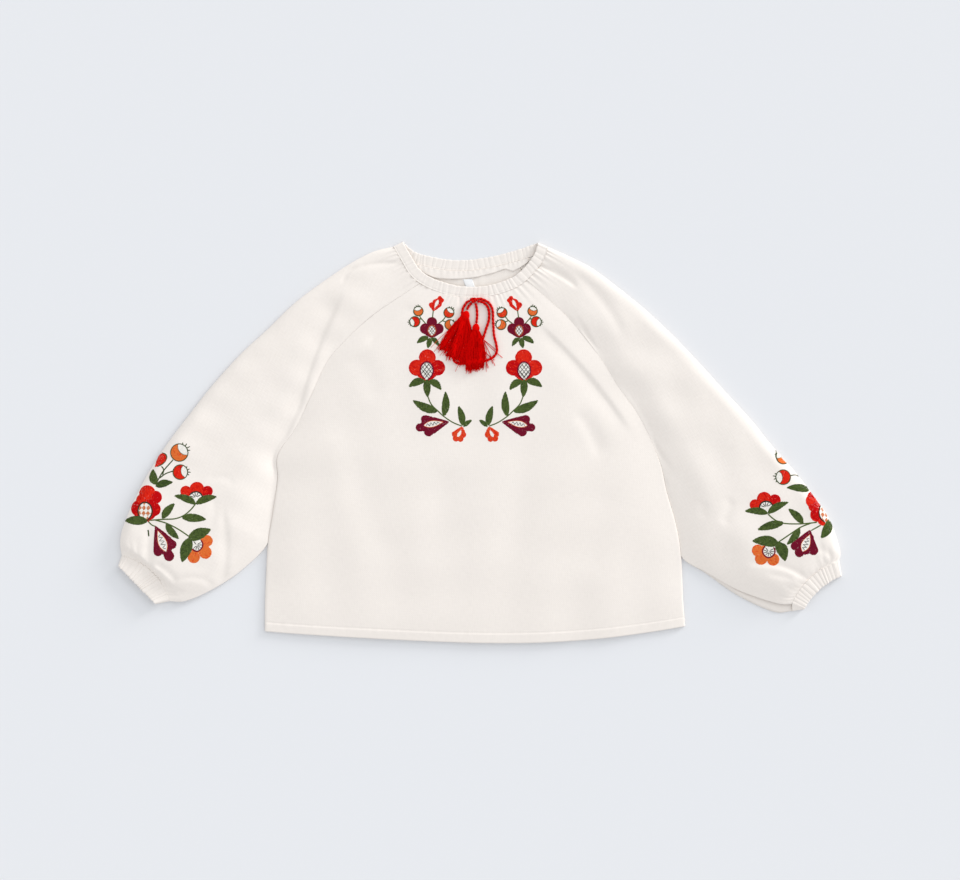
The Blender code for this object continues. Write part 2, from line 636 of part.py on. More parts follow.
def draw_knot(height, mat):
    x, y, long_half, wide_half = KNOT
    rest = height(mm(x), mm(y), mm(3.0)) + SEAM_GAP
    bpy.ops.mesh.primitive_uv_sphere_add(segments=12, ring_count=8, radius=1.0)
    obj = bpy.context.object
    obj.name = "draw_knot"
    for vertex in obj.data.vertices:
        vertex.co.x = mm(x) + vertex.co.x * mm(long_half)
        vertex.co.y = mm(y) + vertex.co.y * mm(wide_half)
        vertex.co.z = rest + mm(1.9) + vertex.co.z * mm(1.9)
    move_to_collection(obj)
    finish(obj, mat)
    return obj


def move_to_collection(obj):
    for other in list(obj.users_collection):
        other.objects.unlink(obj)
    collection.objects.link(obj)


def tassel(name, height, mat):
    hx, hy, lx, ly, rx, ry, radius = TASSELS[name]
    head = np.array([hx, hy])
    flat = 2.5
    rest = height(mm(hx), mm(hy), mm(radius)) * 1000 + 0.3
    centre_z = rest + flat
    bpy.ops.mesh.primitive_uv_sphere_add(segments=12, ring_count=8, radius=1.0)
    ball = bpy.context.object
    ball.name = name
    for vertex in ball.data.vertices:
        vertex.co.x = mm(hx) + vertex.co.x * mm(radius)
        vertex.co.y = mm(hy) + vertex.co.y * mm(radius)
        vertex.co.z = mm(centre_z) + vertex.co.z * mm(flat)
    move_to_collection(ball)
    middle = (np.array([lx, ly]) + np.array([rx, ry])) / 2
    down = (middle - head) / np.linalg.norm(middle - head)
    side = np.array([-down[1], down[0]])
    if side @ (np.array([rx, ry]) - np.array([lx, ly])) < 0:
        side = -side
    lines, radii = [], []
    steps = (0.0, 0.12, 0.3, 0.48, 0.66, 0.83, 1.0)
    for layer in range(TASSEL_LAYERS):
        for k in range(LAYER_STRANDS):
            u = (k + 0.5 + (layer - 1) / 3.0) / LAYER_STRANDS
            uneven = 0.035 * math.sin(5.1 * k + 2.3 * layer)
            root = head + down * radius * 0.5 + side * (u - 0.5) * 1.3 * radius
            end = np.array([lx, ly]) * (1 - u) + np.array([rx, ry]) * u
            end = root + (end - root) * (0.97 + uneven)
            spots = [root + (end - root) * f for f in steps]
            ground = [height(mm(x), mm(y), mm(4.3)) * 1000 for x, y in spots]
            line, sizes = [], []
            for i, f in enumerate(steps):
                size = 0.24 + 0.36 * min(1.0, f * 1.5)
                base = max(ground[max(0, i - 1):i + 2])
                lie = base + 0.4 + size + layer * 1.15
                start = centre_z + (layer - 1) * 0.8
                mix = min(1.0, f / 0.3)
                z = start * (1 - mix) + lie * mix
                if f > 0.2:
                    z = max(z, base + 0.35 + size)
                line.append((mm(spots[i][0]), mm(spots[i][1]), mm(z)))
                sizes.append(mm(size))
            lines.append(line)
            radii.append(sizes)
    strands = tube(name + "_strands", lines, radii, mat, resolution=0)
    apply_curve(strands)
    union = ball.modifiers.new("strands", "BOOLEAN")
    union.operation = "UNION"
    union.solver = "EXACT"
    union.use_self = True
    union.object = bpy.data.objects[name + "_strands"]
    apply_modifiers(ball)
    bpy.data.objects.remove(bpy.data.objects[name + "_strands"], do_unlink=True)
    finish(ball, mat)
    return ball


def apply_curve(obj):
    graph = bpy.context.evaluated_depsgraph_get()
    mesh = bpy.data.meshes.new_from_object(obj.evaluated_get(graph))
    name = obj.name
    bpy.data.objects.remove(obj, do_unlink=True)
    copy = bpy.data.objects.new(name, mesh)
    collection.objects.link(copy)
    return copy


clear_scene()
collection = bpy.data.collections.new("gathered_blouse")
bpy.context.scene.collection.children.link(collection)
linen = material("linen", LINEN)
red_cord = material("red_cord", RED)
white_tape = material("white_tape", WHITE)
curves = casing_curves()

front = front_panel(linen)
back_panel(linen)
sleeve("sleeve_left", SLEEVE_LEFT, -1, linen)
sleeve("sleeve_right", SLEEVE_RIGHT, 1, linen)
casing = neck_casing(linen)
cuff("cuff_left", -1, linen)
cuff("cuff_right", 1, linen)
back_facing(linen)
neck_label(white_tape)
over_cloth = surface_under([front, casing])
cords = [cord(name, over_cloth, red_cord) for name in CORD_RUNS]
draw_knot(over_cloth, red_cord)
over_cords = surface_under([front, casing] + cords)
for tassel_name in TASSELS:
    tassel(tassel_name, over_cords, red_cord)
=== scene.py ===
import math

import bpy
import numpy as np
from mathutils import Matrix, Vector
from mathutils.bvhtree import BVHTree


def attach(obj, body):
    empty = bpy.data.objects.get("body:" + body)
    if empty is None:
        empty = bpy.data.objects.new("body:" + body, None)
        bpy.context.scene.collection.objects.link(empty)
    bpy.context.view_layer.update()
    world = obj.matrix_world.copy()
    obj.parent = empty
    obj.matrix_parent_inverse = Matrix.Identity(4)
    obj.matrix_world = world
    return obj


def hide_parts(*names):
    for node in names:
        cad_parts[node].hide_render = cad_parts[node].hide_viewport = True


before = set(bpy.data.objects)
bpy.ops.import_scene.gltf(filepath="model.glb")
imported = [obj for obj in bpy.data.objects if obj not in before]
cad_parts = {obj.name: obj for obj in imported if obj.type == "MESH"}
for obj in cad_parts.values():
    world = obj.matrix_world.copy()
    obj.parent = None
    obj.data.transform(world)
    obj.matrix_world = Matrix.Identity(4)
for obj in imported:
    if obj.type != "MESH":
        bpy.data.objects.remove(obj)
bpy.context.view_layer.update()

mm = 0.001
rng = np.random.default_rng(11)


# camera: straight above, 0.96 m wide
camera = dict(height=2.5, lens=93.75, centre=(0.0, 0.0025))
cameraData = bpy.data.cameras.new("camera")
cameraData.lens = camera["lens"]
cameraData.sensor_width = 36.0
cameraObject = bpy.data.objects.new("camera", cameraData)
cameraObject.location = (camera["centre"][0], camera["centre"][1], camera["height"])
bpy.context.scene.collection.objects.link(cameraObject)
bpy.context.scene.camera = cameraObject


# shared tables, in millimetres, the same cut as the solids
# left x, y, right x, y, sag of the middle, height of the ends, loft of the middle
bodyRows = [
    (-60.0, 159.5, 47.0, 161.5, 14.7, 4.4, 0.6),
    (-82.0, 144.5, 65.0, 145.5, 19.0, 4.7, 1.2),
    (-104.0, 129.5, 82.0, 130.5, 20.0, 4.9, 2.0),
    (-128.0, 108.5, 100.0, 110.5, 17.0, 5.0, 2.4),
    (-152.0, 81.5, 120.0, 84.5, 12.0, 5.0, 2.8),
    (-169.0, 45.5, 139.0, 54.5, 7.0, 4.8, 3.2),
    (-184.0, 14.5, 162.0, 20.5, 3.0, 4.4, 3.6),
    (-202.0, -12.5, 180.0, -20.5, 1.0, 4.1, 4.0),
    (-202.5, -37.5, 187.0, -50.5, 1.0, 4.0, 4.0),
    (-207.5, -72.5, 196.0, -82.5, 2.0, 3.8, 3.8),
    (-212.0, -100.5, 201.0, -113.5, 4.0, 3.4, 3.6),
    (-214.5, -152.5, 203.0, -157.5, 9.0, 2.9, 2.6),
    (-215.0, -178.5, 204.4, -173.5, 13.0, 2.7, 1.5),
    (-215.0, -188.7, 205.0, -183.7, 14.0, 2.6, 0.9),
]
backTop = (-55.0, 175.0, 35.0, 179.6, 6.5)
rowSteps = 40  # steps of the curve between two rows of a table
cornerRow = 10  # the row where a sleeve leaves the body's side
casingWidth = 10.7  # neck casing, from its free edge to the seam
cornerShare = 0.07  # part of the neck edge whose normals turn to the casing's corner
cornerWays = ((-0.894, -0.447), (0.923, -0.385))  # normals at the left and right corner
riseShare = 0.38  # part of a sleeve's width in which it rises from its seam
# outer fold x, y, upper seam edge x, y, lower seam edge x, y, seam height, loft, bow
sleeveRows = dict(
    left=[
        (-86.0, 196.0, -60.0, 159.5, -56.0, 175.5, 4.4, 0.3, -2.5),
        (-107.0, 190.5, -82.0, 144.5, -78.0, 150.5, 4.7, 1.0, 0.0),
        (-130.0, 178.5, -104.0, 129.5, -104.0, 129.5, 4.9, 1.6, 0.0),
        (-157.0, 160.5, -128.0, 108.5, -128.0, 108.5, 5.0, 2.2, 0.0),
        (-185.0, 139.5, -152.0, 81.5, -152.0, 81.5, 5.0, 2.8, 0.0),
        (-212.0, 113.5, -169.0, 45.5, -169.0, 45.5, 4.8, 3.2, 0.0),
        (-240.0, 87.5, -184.0, 14.5, -184.0, 14.5, 4.2, 3.8, 0.0),
        (-268.0, 56.5, -202.0, -12.5, -202.0, -12.5, 3.4, 4.8, 0.0),
        (-290.0, 28.5, -202.5, -37.5, -202.5, -37.5, 2.8, 6.0, 0.0),
        (-312.0, -0.5, -207.5, -72.5, -207.5, -72.5, 2.5, 7.0, 0.0),
        (-332.0, -31.5, -212.0, -100.5, -212.0, -100.5, 2.5, 8.0, 0.0),
        (-347.0, -60.5, -237.0, -126.5, -237.0, -126.5, 2.5, 8.6, 0.0),
        (-357.0, -85.5, -265.0, -145.5, -265.0, -145.5, 2.8, 8.6, 0.0),
        (-359.5, -100.5, -293.0, -158.0, -293.0, -158.0, 3.4, 7.0, -3.5),
        (-358.0, -113.0, -310.0, -158.5, -310.0, -158.5, 3.8, 1.6, -9.5),
    ],
    right=[
        (69.0, 194.9, 47.0, 161.5, 35.0, 180.0, 4.4, 0.3, -2.5),
        (92.0, 184.5, 65.0, 145.5, 61.0, 151.5, 4.7, 1.0, 0.0),
        (112.0, 174.0, 82.0, 130.5, 82.0, 130.5, 4.9, 1.6, 0.0),
        (135.0, 157.0, 100.0, 110.5, 100.0, 110.5, 5.0, 2.2, 0.0),
        (160.0, 137.0, 120.0, 84.5, 120.0, 84.5, 5.0, 2.8, 0.0),
        (188.0, 111.5, 139.0, 54.5, 139.0, 54.5, 4.8, 3.2, 0.0),
        (217.0, 81.5, 162.0, 20.5, 162.0, 20.5, 4.2, 3.8, 0.0),
        (246.0, 49.5, 180.0, -20.5, 180.0, -20.5, 3.4, 4.8, 0.0),
        (270.0, 23.5, 187.0, -50.5, 187.0, -50.5, 2.8, 6.0, 0.0),
        (291.0, -2.5, 196.0, -82.5, 196.0, -82.5, 2.5, 7.0, 0.0),
        (313.0, -27.5, 201.0, -113.5, 201.0, -113.5, 2.5, 8.0, 0.0),
        (332.0, -51.5, 226.0, -129.5, 226.0, -131.0, 2.6, 8.6, 0.0),
        (349.0, -76.5, 258.0, -147.5, 258.0, -153.0, 3.0, 8.6, 0.0),
        (359.5, -106.5, 296.0, -160.5, 293.0, -169.0, 3.6, 7.0, -2.5),
        (359.0, -118.5, 311.0, -161.5, 312.0, -168.5, 3.8, 1.6, -7.5),
    ],
)
frontEdge = [(-77.0, 200.5), (-69.0, 186.5), (-61.0, 173.5), (-50.0, 165.5), (-38.0, 160.5),
             (-23.0, 156.5), (-8.0, 155.5), (7.0, 156.5), (22.0, 160.5), (35.0, 166.5),
             (45.0, 175.5), (54.0, 187.5), (58.0, 199.5)]
backEdge = [(-77.0, 200.5), (-71.0, 194.5), (-63.0, 189.5), (-48.0, 185.5), (-30.0, 182.5),
            (-10.0, 182.5), (10.0, 185.5), (27.0, 189.5), (44.0, 194.5), (52.0, 197.5),
            (58.0, 199.5)]
facingEdge = [(-66.0, 174.0), (-51.0, 166.5), (-40.0, 163.5), (-20.0, 163.5), (-5.0, 165.0),
              (10.0, 168.5), (18.0, 171.0), (25.0, 173.5), (28.0, 172.8), (34.0, 171.5),
              (48.0, 180.0)]


def spline(points, steps):
    # Catmull-Rom curve through the rows, with the given number of steps in each interval
    rows = np.asarray(points, dtype=float)
    ends = np.vstack([2 * rows[0] - rows[1], rows, 2 * rows[-1] - rows[-2]])
    out = [rows[:1]]
    for i in range(len(rows) - 1):
        p0, p1, p2, p3 = ends[i:i + 4]
        t = (np.arange(1, steps + 1) / steps)[:, None]
        out.append(0.5 * (2 * p1 + (p2 - p0) * t + (2 * p0 - 5 * p1 + 4 * p2 - p3) * t ** 2
                          + (3 * p1 - p0 - 3 * p2 + p3) * t ** 3))
    return np.vstack(out)


def resample(points, count):
    # points at equal distances along a polyline
    rows = np.asarray(points, dtype=float)
    at = np.concatenate([[0.0], np.cumsum(np.linalg.norm(np.diff(rows, axis=0), axis=1))])
    want = np.linspace(0.0, at[-1], count)
    return np.stack([np.interp(want, at, rows[:, k]) for k in range(rows.shape[1])], axis=1)


def pick(curve, at):
    # linear reading of a polyline's rows at fractional indices
    index = np.arange(len(curve))
    return np.stack([np.interp(at, index, curve[:, k]) for k in range(curve.shape[1])], axis=-1)


def neckCurves():
    # each half's free edge, its outward normal, and the seam line one casing width out
    result = {}
    for half, table in (("front", frontEdge), ("back", backEdge)):
        edge = resample(spline(table, 12), 481)
        tangent = np.gradient(edge, axis=0)
        tangent /= np.linalg.norm(tangent, axis=1)[:, None]
        normal = np.stack([tangent[:, 1], -tangent[:, 0]], axis=1)
        at = np.linspace(0.0, 1.0, len(edge))[:, None]
        a, b = np.clip(1 - at / cornerShare, 0, 1), np.clip(1 - (1 - at) / cornerShare, 0, 1)
        normal = normal * (1 - a - b) + np.array(cornerWays[0]) * a
        normal += np.array(cornerWays[1]) * b
        normal /= np.linalg.norm(normal, axis=1)[:, None]
        result[half] = (edge, edge + normal * casingWidth, normal)
    return result


neck = neckCurves()


def seamPart(half, start, end, fractions, gap=0.03):
    # points on the neck seam between the places nearest to start and end
    seam = neck[half][1] + neck[half][2] * gap
    first = np.argmin(np.linalg.norm(seam - np.array(start), axis=1))
    last = np.argmin(np.linalg.norm(seam - np.array(end), axis=1))
    return pick(seam, first + (last - first) * np.asarray(fractions))


def smooth(value):
    # rises from 0 to 1 with level ends
    value = np.clip(value, 0.0, 1.0)
    return value * value * (3 - 2 * value)


def creased(x, y, table):
    # sum of soft folds: a bell across a bowed line, steeper on one side by its lean,
    # faded at both ends
    total = np.zeros_like(x)
    for x0, y0, x1, y1, bow, width, depth, lean in table:
        length = math.hypot(x1 - x0, y1 - y0)
        ux, uy = (x1 - x0) / length, (y1 - y0) / length
        along = ((x - x0) * ux + (y - y0) * uy) / length
        inside = np.clip(along, 0, 1)
        side = (y - y0) * ux - (x - x0) * uy - bow * 4 * inside * (1 - inside)
        fade = np.exp(-(np.clip(np.abs(along - 0.5) - 0.36, 0, None) / 0.14) ** 2)
        across = np.where(side > 0, width * (1 + lean), width * (1 - lean))
        total += depth * fade * np.exp(-(side / across) ** 2)
    return total


def rumpled(x, y, seed, size, amount):
    # low uneven swell: a few crossing sine waves of about the given size
    source = np.random.default_rng(seed)
    total = np.zeros_like(x)
    for _ in range(9):
        angle = source.uniform(0, math.pi)
        wave = size * source.uniform(0.6, 1.6)
        shift = source.uniform(0, 2 * math.pi)
        bend = 0.5 * np.sin((x * math.sin(angle) - y * math.cos(angle)) / (wave * 1.7) + shift)
        total += np.sin((x * math.cos(angle) + y * math.sin(angle)) * 2 * math.pi / wave
                        + shift + bend)
    return total * amount / 3.0


def normals(grid, closed=False):
    # unit normals of a grid from its two sets of differences
    if closed:
        wrapped = np.concatenate([grid[-1:], grid, grid[:1]])
        du = np.gradient(wrapped, axis=0)[1:-1]
    else:
        du = np.gradient(grid, axis=0)
    dv = np.gradient(grid, axis=1)
    n = np.cross(du, dv)
    return n / np.maximum(np.linalg.norm(n, axis=2), 1e-9)[..., None]


def meshObject(name, verts, faces, mats, uv=None, faceMats=None):
    # mesh from arrays, shaded smooth, riding on the blouse
    mesh = bpy.data.meshes.new(name)
    verts = np.asarray(verts, dtype=np.float32)
    faces = np.asarray(faces, dtype=np.int32)
    size = faces.shape[1]
    mesh.vertices.add(len(verts))
    mesh.vertices.foreach_set("co", verts.ravel())
    mesh.loops.add(faces.size)
    mesh.loops.foreach_set("vertex_index", faces.ravel())
    mesh.polygons.add(len(faces))
    mesh.polygons.foreach_set("loop_start", np.arange(0, faces.size, size, dtype=np.int32))
    if faceMats is not None:
        mesh.polygons.foreach_set("material_index", np.asarray(faceMats, dtype=np.int32))
    mesh.update(calc_edges=True)
    mesh.validate()
    mesh.shade_smooth()
    if uv is not None:
        layer = mesh.uv_layers.new(name="UVMap")
        layer.data.foreach_set("uv", np.asarray(uv, dtype=np.float32)[faces.ravel()].ravel())
    for mat in mats:
        mesh.materials.append(mat)
    obj = bpy.data.objects.new(name, mesh)
    bpy.context.scene.collection.objects.link(obj)
    return obj


def shell(name, grid, wall, mats, uv, closed=False, flip=False, inner=None):
    # closed cloth wall: outer grid in millimetres, inner grid a wall's thickness inside,
    # and a rim round the free edges
    rows, cols = grid.shape[:2]
    n = normals(grid, closed) * (-1.0 if flip else 1.0)
    if inner is None:
        inner = grid - n * wall
    verts = np.concatenate([grid.reshape(-1, 3), inner.reshape(-1, 3)]) * mm
    i = np.arange(rows if closed else rows - 1)[:, None]
    j = np.arange(cols - 1)[None, :]
    i2 = (i + 1) % rows
    quad = np.stack([i * cols + j, i2 * cols + j, i2 * cols + j + 1, i * cols + j + 1], axis=-1)
    quad = quad.reshape(-1, 4)
    if flip:
        quad = quad[:, ::-1]
    total = rows * cols
    faces = [quad, quad[:, ::-1] + total]
    rims = [np.stack([np.arange(len(i)) * cols, ((np.arange(len(i)) + 1) % rows) * cols], 1),
            np.stack([((np.arange(len(i)) + 1) % rows) * cols + cols - 1,
                      np.arange(len(i)) * cols + cols - 1], 1)]
    if not closed:
        k = np.arange(cols - 1)
        rims.append(np.stack([k + 1, k], 1))
        rims.append(np.stack([(rows - 1) * cols + k, (rows - 1) * cols + k + 1], 1))
    for rim in rims:
        a, b = rim[:, 0], rim[:, 1]
        if flip:
            a, b = b, a
        faces.append(np.stack([b, a, a + total, b + total], 1))
    uvs = np.concatenate([uv.reshape(-1, 2)] * 2)
    obj = meshObject(name, verts, np.concatenate(faces), mats, uvs)
    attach(obj, "root")
    return obj


# cloth and label material
linen = dict(colour=(0.901, 0.836, 0.773), roughness=0.95, weave=0.95, slub=0.035, bump=0.12)
tape = dict(colour=(0.90, 0.90, 0.90), roughness=0.7)


def principled(name, colour, roughness, sheen=0.0):
    # plain material with a low gloss
    mat = bpy.data.materials.new(name)
    mat.use_nodes = True
    shader = mat.node_tree.nodes["Principled BSDF"]
    shader.inputs["Base Color"].default_value = (*colour, 1.0)
    shader.inputs["Roughness"].default_value = roughness
    shader.inputs["Specular IOR Level"].default_value = 0.25
    shader.inputs["Sheen Weight"].default_value = sheen
    return mat, shader


def mathNode(tree, kind, a, b=None):
    # one arithmetic node on sockets or numbers
    node = tree.nodes.new("ShaderNodeMath")
    node.operation = kind
    for k, value in enumerate((a, b)):
        if value is None:
            continue
        if isinstance(value, (int, float)):
            node.inputs[k].default_value = value
        else:
            tree.links.new(value, node.inputs[k])
    return node.outputs[0]


def tint(tree, shader, colour, tone):
    # base colour: the plain colour times a grey tone
    mix = tree.nodes.new("ShaderNodeMix")
    mix.data_type = "RGBA"
    mix.blend_type = "MULTIPLY"
    mix.inputs["Factor"].default_value = 1.0
    mix.inputs[6].default_value = (*colour, 1.0)
    grey = tree.nodes.new("ShaderNodeCombineColor")
    for k in range(3):
        tree.links.new(tone, grey.inputs[k])
    tree.links.new(grey.outputs[0], mix.inputs[7])
    tree.links.new(mix.outputs[2], shader.inputs["Base Color"])


def clothMaterial(name, look):
    # plain weave from the piece's UV map, whose unit is a millimetre along the grain:
    # crossed threads for the bump, and long thin noise along each thread set for slubs
    mat, shader = principled(name, look["colour"], look["roughness"], 0.08)
    tree = mat.node_tree
    uv = tree.nodes.new("ShaderNodeUVMap")
    uv.uv_map = "UVMap"
    split = tree.nodes.new("ShaderNodeSeparateXYZ")
    tree.links.new(uv.outputs[0], split.inputs[0])
    u, v = split.outputs[0], split.outputs[1]
    turn = math.pi / look["weave"]
    over = mathNode(tree, "MULTIPLY", mathNode(tree, "SINE", mathNode(tree, "MULTIPLY", u, turn)),
                    mathNode(tree, "SINE", mathNode(tree, "MULTIPLY", v, turn)))

    def streaks(a, b, scaleA, scaleB):
        join = tree.nodes.new("ShaderNodeCombineXYZ")
        tree.links.new(mathNode(tree, "MULTIPLY", a, scaleA), join.inputs[0])
        tree.links.new(mathNode(tree, "MULTIPLY", b, scaleB), join.inputs[1])
        noise = tree.nodes.new("ShaderNodeTexNoise")
        noise.inputs["Scale"].default_value = 1.0
        noise.inputs["Detail"].default_value = 1.5
        tree.links.new(join.outputs[0], noise.inputs["Vector"])
        return noise.outputs["Fac"]

    warp = streaks(u, v, 0.95, 0.14)
    weft = streaks(u, v, 0.14, 0.95)
    both = mathNode(tree, "ADD", warp, weft)
    height = mathNode(tree, "ADD", mathNode(tree, "MULTIPLY", over, 0.35), both)
    bump = tree.nodes.new("ShaderNodeBump")
    bump.inputs["Strength"].default_value = look["bump"]
    bump.inputs["Distance"].default_value = 0.0006
    tree.links.new(height, bump.inputs["Height"])
    tree.links.new(bump.outputs[0], shader.inputs["Normal"])
    tone = mathNode(tree, "ADD", mathNode(tree, "MULTIPLY", both, look["slub"] * 2),
                    mathNode(tree, "MULTIPLY", over, look["slub"] * 0.3))
    tone = mathNode(tree, "ADD", tone, 1.0 - look["slub"] * 2)
    tint(tree, shader, look["colour"], tone)
    return mat


linenMat = clothMaterial("linenCloth", linen)
tapeMat = principled("labelTape", tape["colour"], tape["roughness"])[0]


# front panel; each fold is a line with bow, width, depth and lean
front = dict(
    wall=0.9, columns=150, gathers=22, puckerDepth=0.24, puckerReach=26.0, hemWidth=9.8,
    creases=[  # x0, y0, x1, y1, bow, width, depth, lean
        (-65.0, 135.5, -112.0, 99.0, -2.0, 5.0, -1.0, -0.5),
        (62.0, 112.5, 145.0, 14.5, 4.0, 7.0, -1.4, -0.6),
        (98.0, 29.5, 120.0, -12.5, 2.0, 8.0, -1.1, 0.2),
        (-20.5, 155.0, -21.0, 137.0, 0.0, 1.4, -0.7, 0.2),
        (-126.0, 86.0, -104.0, 44.0, 4.0, 12.0, -0.9, 0.0),
        (-120.0, -20.0, -96.0, -110.0, -6.0, 16.0, -0.6, 0.0),
        (-40.0, -20.0, -52.0, -120.0, 5.0, 15.0, -0.4, 0.0),
        (40.0, 0.0, 30.0, -110.0, 5.0, 15.0, -0.5, 0.0),
        (130.0, -50.0, 112.0, -130.0, -4.0, 14.0, -0.5, 0.0),
        (-150.0, 10.0, -140.0, -70.0, 4.0, 14.0, 0.5, 0.0),
    ])


def panelPlan(table, topHalf, topEnds, columns, rowAt, fine):
    # x, y of a body panel: rows across, each a straight line with a sag, the first rows
    # eased onto the neck seam; fine lists distances of the extra columns at both edges
    rows = pick(spline(table, rowSteps), rowAt)
    tableRow = rowAt / rowSteps
    width = np.hypot(rows[:, 2] - rows[:, 0], rows[:, 3] - rows[:, 1])[:, None]
    edge = np.array(fine)[None, :] / width
    middle = np.linspace(0, 1, columns)[None, 1:-1]
    last = edge[:, -1:]
    t = np.concatenate([edge, last + (1 - 2 * last) * middle, 1 - edge[:, ::-1]], axis=1)
    x = rows[:, 0:1] + (rows[:, 2:3] - rows[:, 0:1]) * t
    y = rows[:, 1:2] + (rows[:, 3:4] - rows[:, 1:2]) * t - rows[:, 4:5] * 4 * t * (1 - t)
    low = (tableRow > cornerRow)[:, None]
    y = y + np.where(low, 0.16 * rows[:, 4:5] * np.sin(2 * math.pi * t), 0.0)
    seam = seamPart(topHalf, topEnds[:2], topEnds[2:4], t[0])
    shift = seam - np.stack([x[0], y[0]], axis=1)
    ease = np.clip(1 - tableRow / 4.0, 0, 1)[:, None] ** 2
    for k, plane in enumerate((x, y)):
        plane += ease * np.array([np.interp(row, t[0], shift[:, k]) for row in t])
    return x, y, t, rows, tableRow, width


def rollDown(distance, radius):
    # drop of a rounded edge: a quarter circle of that radius
    d = np.clip(distance, 0, radius)
    return radius - np.sqrt(np.maximum(radius ** 2 - (radius - d) ** 2, 0))


def makeFront():
    # one sheet with puckers under the neck casing, soft folds and a stitched hem
    table = bodyRows
    last = (len(table) - 1) * rowSteps
    rowAt = np.concatenate([[0, 0.4, 0.9, 1.6, 3, 6, 10, 15], np.linspace(20, last - 44, 118),
                            np.linspace(last - 42, last - 4, 18),
                            last - np.array([3.0, 2.0, 1.2, 0.5, 0.0])])
    fine = [0.02, 0.14, 0.3, 0.5, 0.9, 1.6, 3.0]
    x, y, t, rows, tableRow, width = panelPlan(table, "front", table[0][:4], front["columns"],
                                               rowAt, fine)
    z = rows[:, 5:6] + rows[:, 6:7] * (1 - np.abs(2 * t - 1) ** 6)
    z = z + creased(x, y, front["creases"]) + rumpled(x, y, 3, 70.0, 0.35)
    fromSeam = np.concatenate([[0], np.cumsum(np.hypot(np.diff(x[:, 75]), np.diff(y[:, 75])))])
    fromSeam = fromSeam[:, None]
    phase = t * 2 * math.pi * front["gathers"] + 1.3 * np.sin(t * 17.0) + 0.8 * np.sin(t * 41)
    pucker = np.sin(phase) * (0.75 + 0.5 * np.sin(t * 29.0))
    z += front["puckerDepth"] * pucker * np.exp(-fromSeam / front["puckerReach"] * 2.2)
    toHem = fromSeam[-1:] - fromSeam
    stitch = np.exp(-((toHem - front["hemWidth"]) / 0.7) ** 2)
    z += 0.35 * smooth((front["hemWidth"] - toHem) / 0.8 + 0.5) - 0.3 * stitch
    z += 0.12 * np.sin(x * 0.9 + 2 * np.sin(x * 0.21)) * np.exp(-((toHem - 8.5) / 4.0) ** 2)
    distance = np.minimum(t, 1 - t) * width
    side = np.clip(tableRow - 6.5, 0, 1)[:, None]
    radius = 0.12 + 1.6 * side + 0 * distance
    z -= rollDown(distance, radius)
    z -= rollDown(fromSeam, 0.25 + 0 * z) + 1.1 * rollDown(toHem, 1.0 + 0 * z)
    z = np.maximum(z, 1.95)
    grid = np.dstack([x, y, z])
    uv = np.dstack([x, y])
    return shell("frontPanel", grid, front["wall"], [linenMat], uv)


frontObj = makeFront()
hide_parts("front_panel")
print("front panel", len(frontObj.data.polygons))


# back panel, flat, with soft folds where it shows inside the neck
back = dict(wall=1.0, columns=60)


def backRows():
    # the body's rows with the back's higher neck
    rows = [list(row) for row in bodyRows]
    rows[0][:5] = backTop
    rows[1][:4] = [*sleeveRows["left"][1][4:6], *sleeveRows["right"][1][4:6]]
    return rows


def makeBack():
    # one flat sheet under the front
    table = backRows()
    last = (len(table) - 1) * rowSteps
    rowAt = np.concatenate([np.linspace(0, last - 3, 90), last - np.array([1.5, 0.6, 0.0])])
    x, y, t, *_, width = panelPlan(table, "back", backTop[:4], back["columns"], rowAt,
                                   [0.3, 0.6, 1.2])
    z = 1.0 - rollDown(np.minimum(t, 1 - t) * width - 0.3, 0.5)
    shade = creased(x, y, [(-17.0, 176.0, -18.0, 140.0, 1.0, 2.2, 0.45, 0.0),
                           (2.0, 176.0, 1.0, 140.0, -1.0, 2.6, 0.5, 0.2),
                           (27.0, 176.0, 22.0, 150.0, 1.0, 3.0, 0.4, 0.0)])
    z = z + np.maximum(shade, 0) * 0.7
    grid = np.dstack([x, y, z])
    flat = np.dstack([x, y, np.zeros_like(z)])
    return shell("backPanel", grid, back["wall"], [linenMat], np.dstack([x, y]), inner=flat)


backObj = makeBack()
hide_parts("back_panel")
print("back panel", len(backObj.data.polygons))


def gatherRidges(s, total, count, seed, sharp=0.62):
    # rounded ridges with narrow grooves between them, of uneven width and height
    source = np.random.default_rng(seed)
    widths = source.uniform(0.55, 1.45, count)
    ends = np.concatenate([[0], np.cumsum(widths)]) * total / widths.sum()
    tall = source.uniform(0.55, 1.25, count)
    s = np.mod(s, total)
    k = np.clip(np.searchsorted(ends, s, side="right") - 1, 0, count - 1)
    part = (s - ends[k]) / (ends[k + 1] - ends[k])
    return tall[k] * np.maximum(np.sin(math.pi * part), 0.0) ** sharp


# wrist casings: seam outer x, y, seam inner x, y, edge outer x, y, edge inner x, y,
# bow of the seam, bow of the edge, top at the seam, top at the edge, lower seam corner x, y
wrists = dict(
    wall=0.9, middle=2.1, width=11.0, upper=300, lower=90, turn=12, across=16, gathers=15,
    rib=dict(left=0.85, right=0.7), reach=(7.0, 17.0), lowEnd=3.8, edgeRoll=0.8,
    left=(-358.0, -113.0, -310.0, -158.5, -361.5, -122.8, -324.0, -161.5, -9.5, 0.0, 5.4, 6.2,
          -310.0, -158.5),
    right=(359.0, -118.5, 311.0, -161.5, 361.5, -133.5, 324.0, -166.5, -7.5, -4.5, 5.4, 4.2,
           312.0, -168.5))


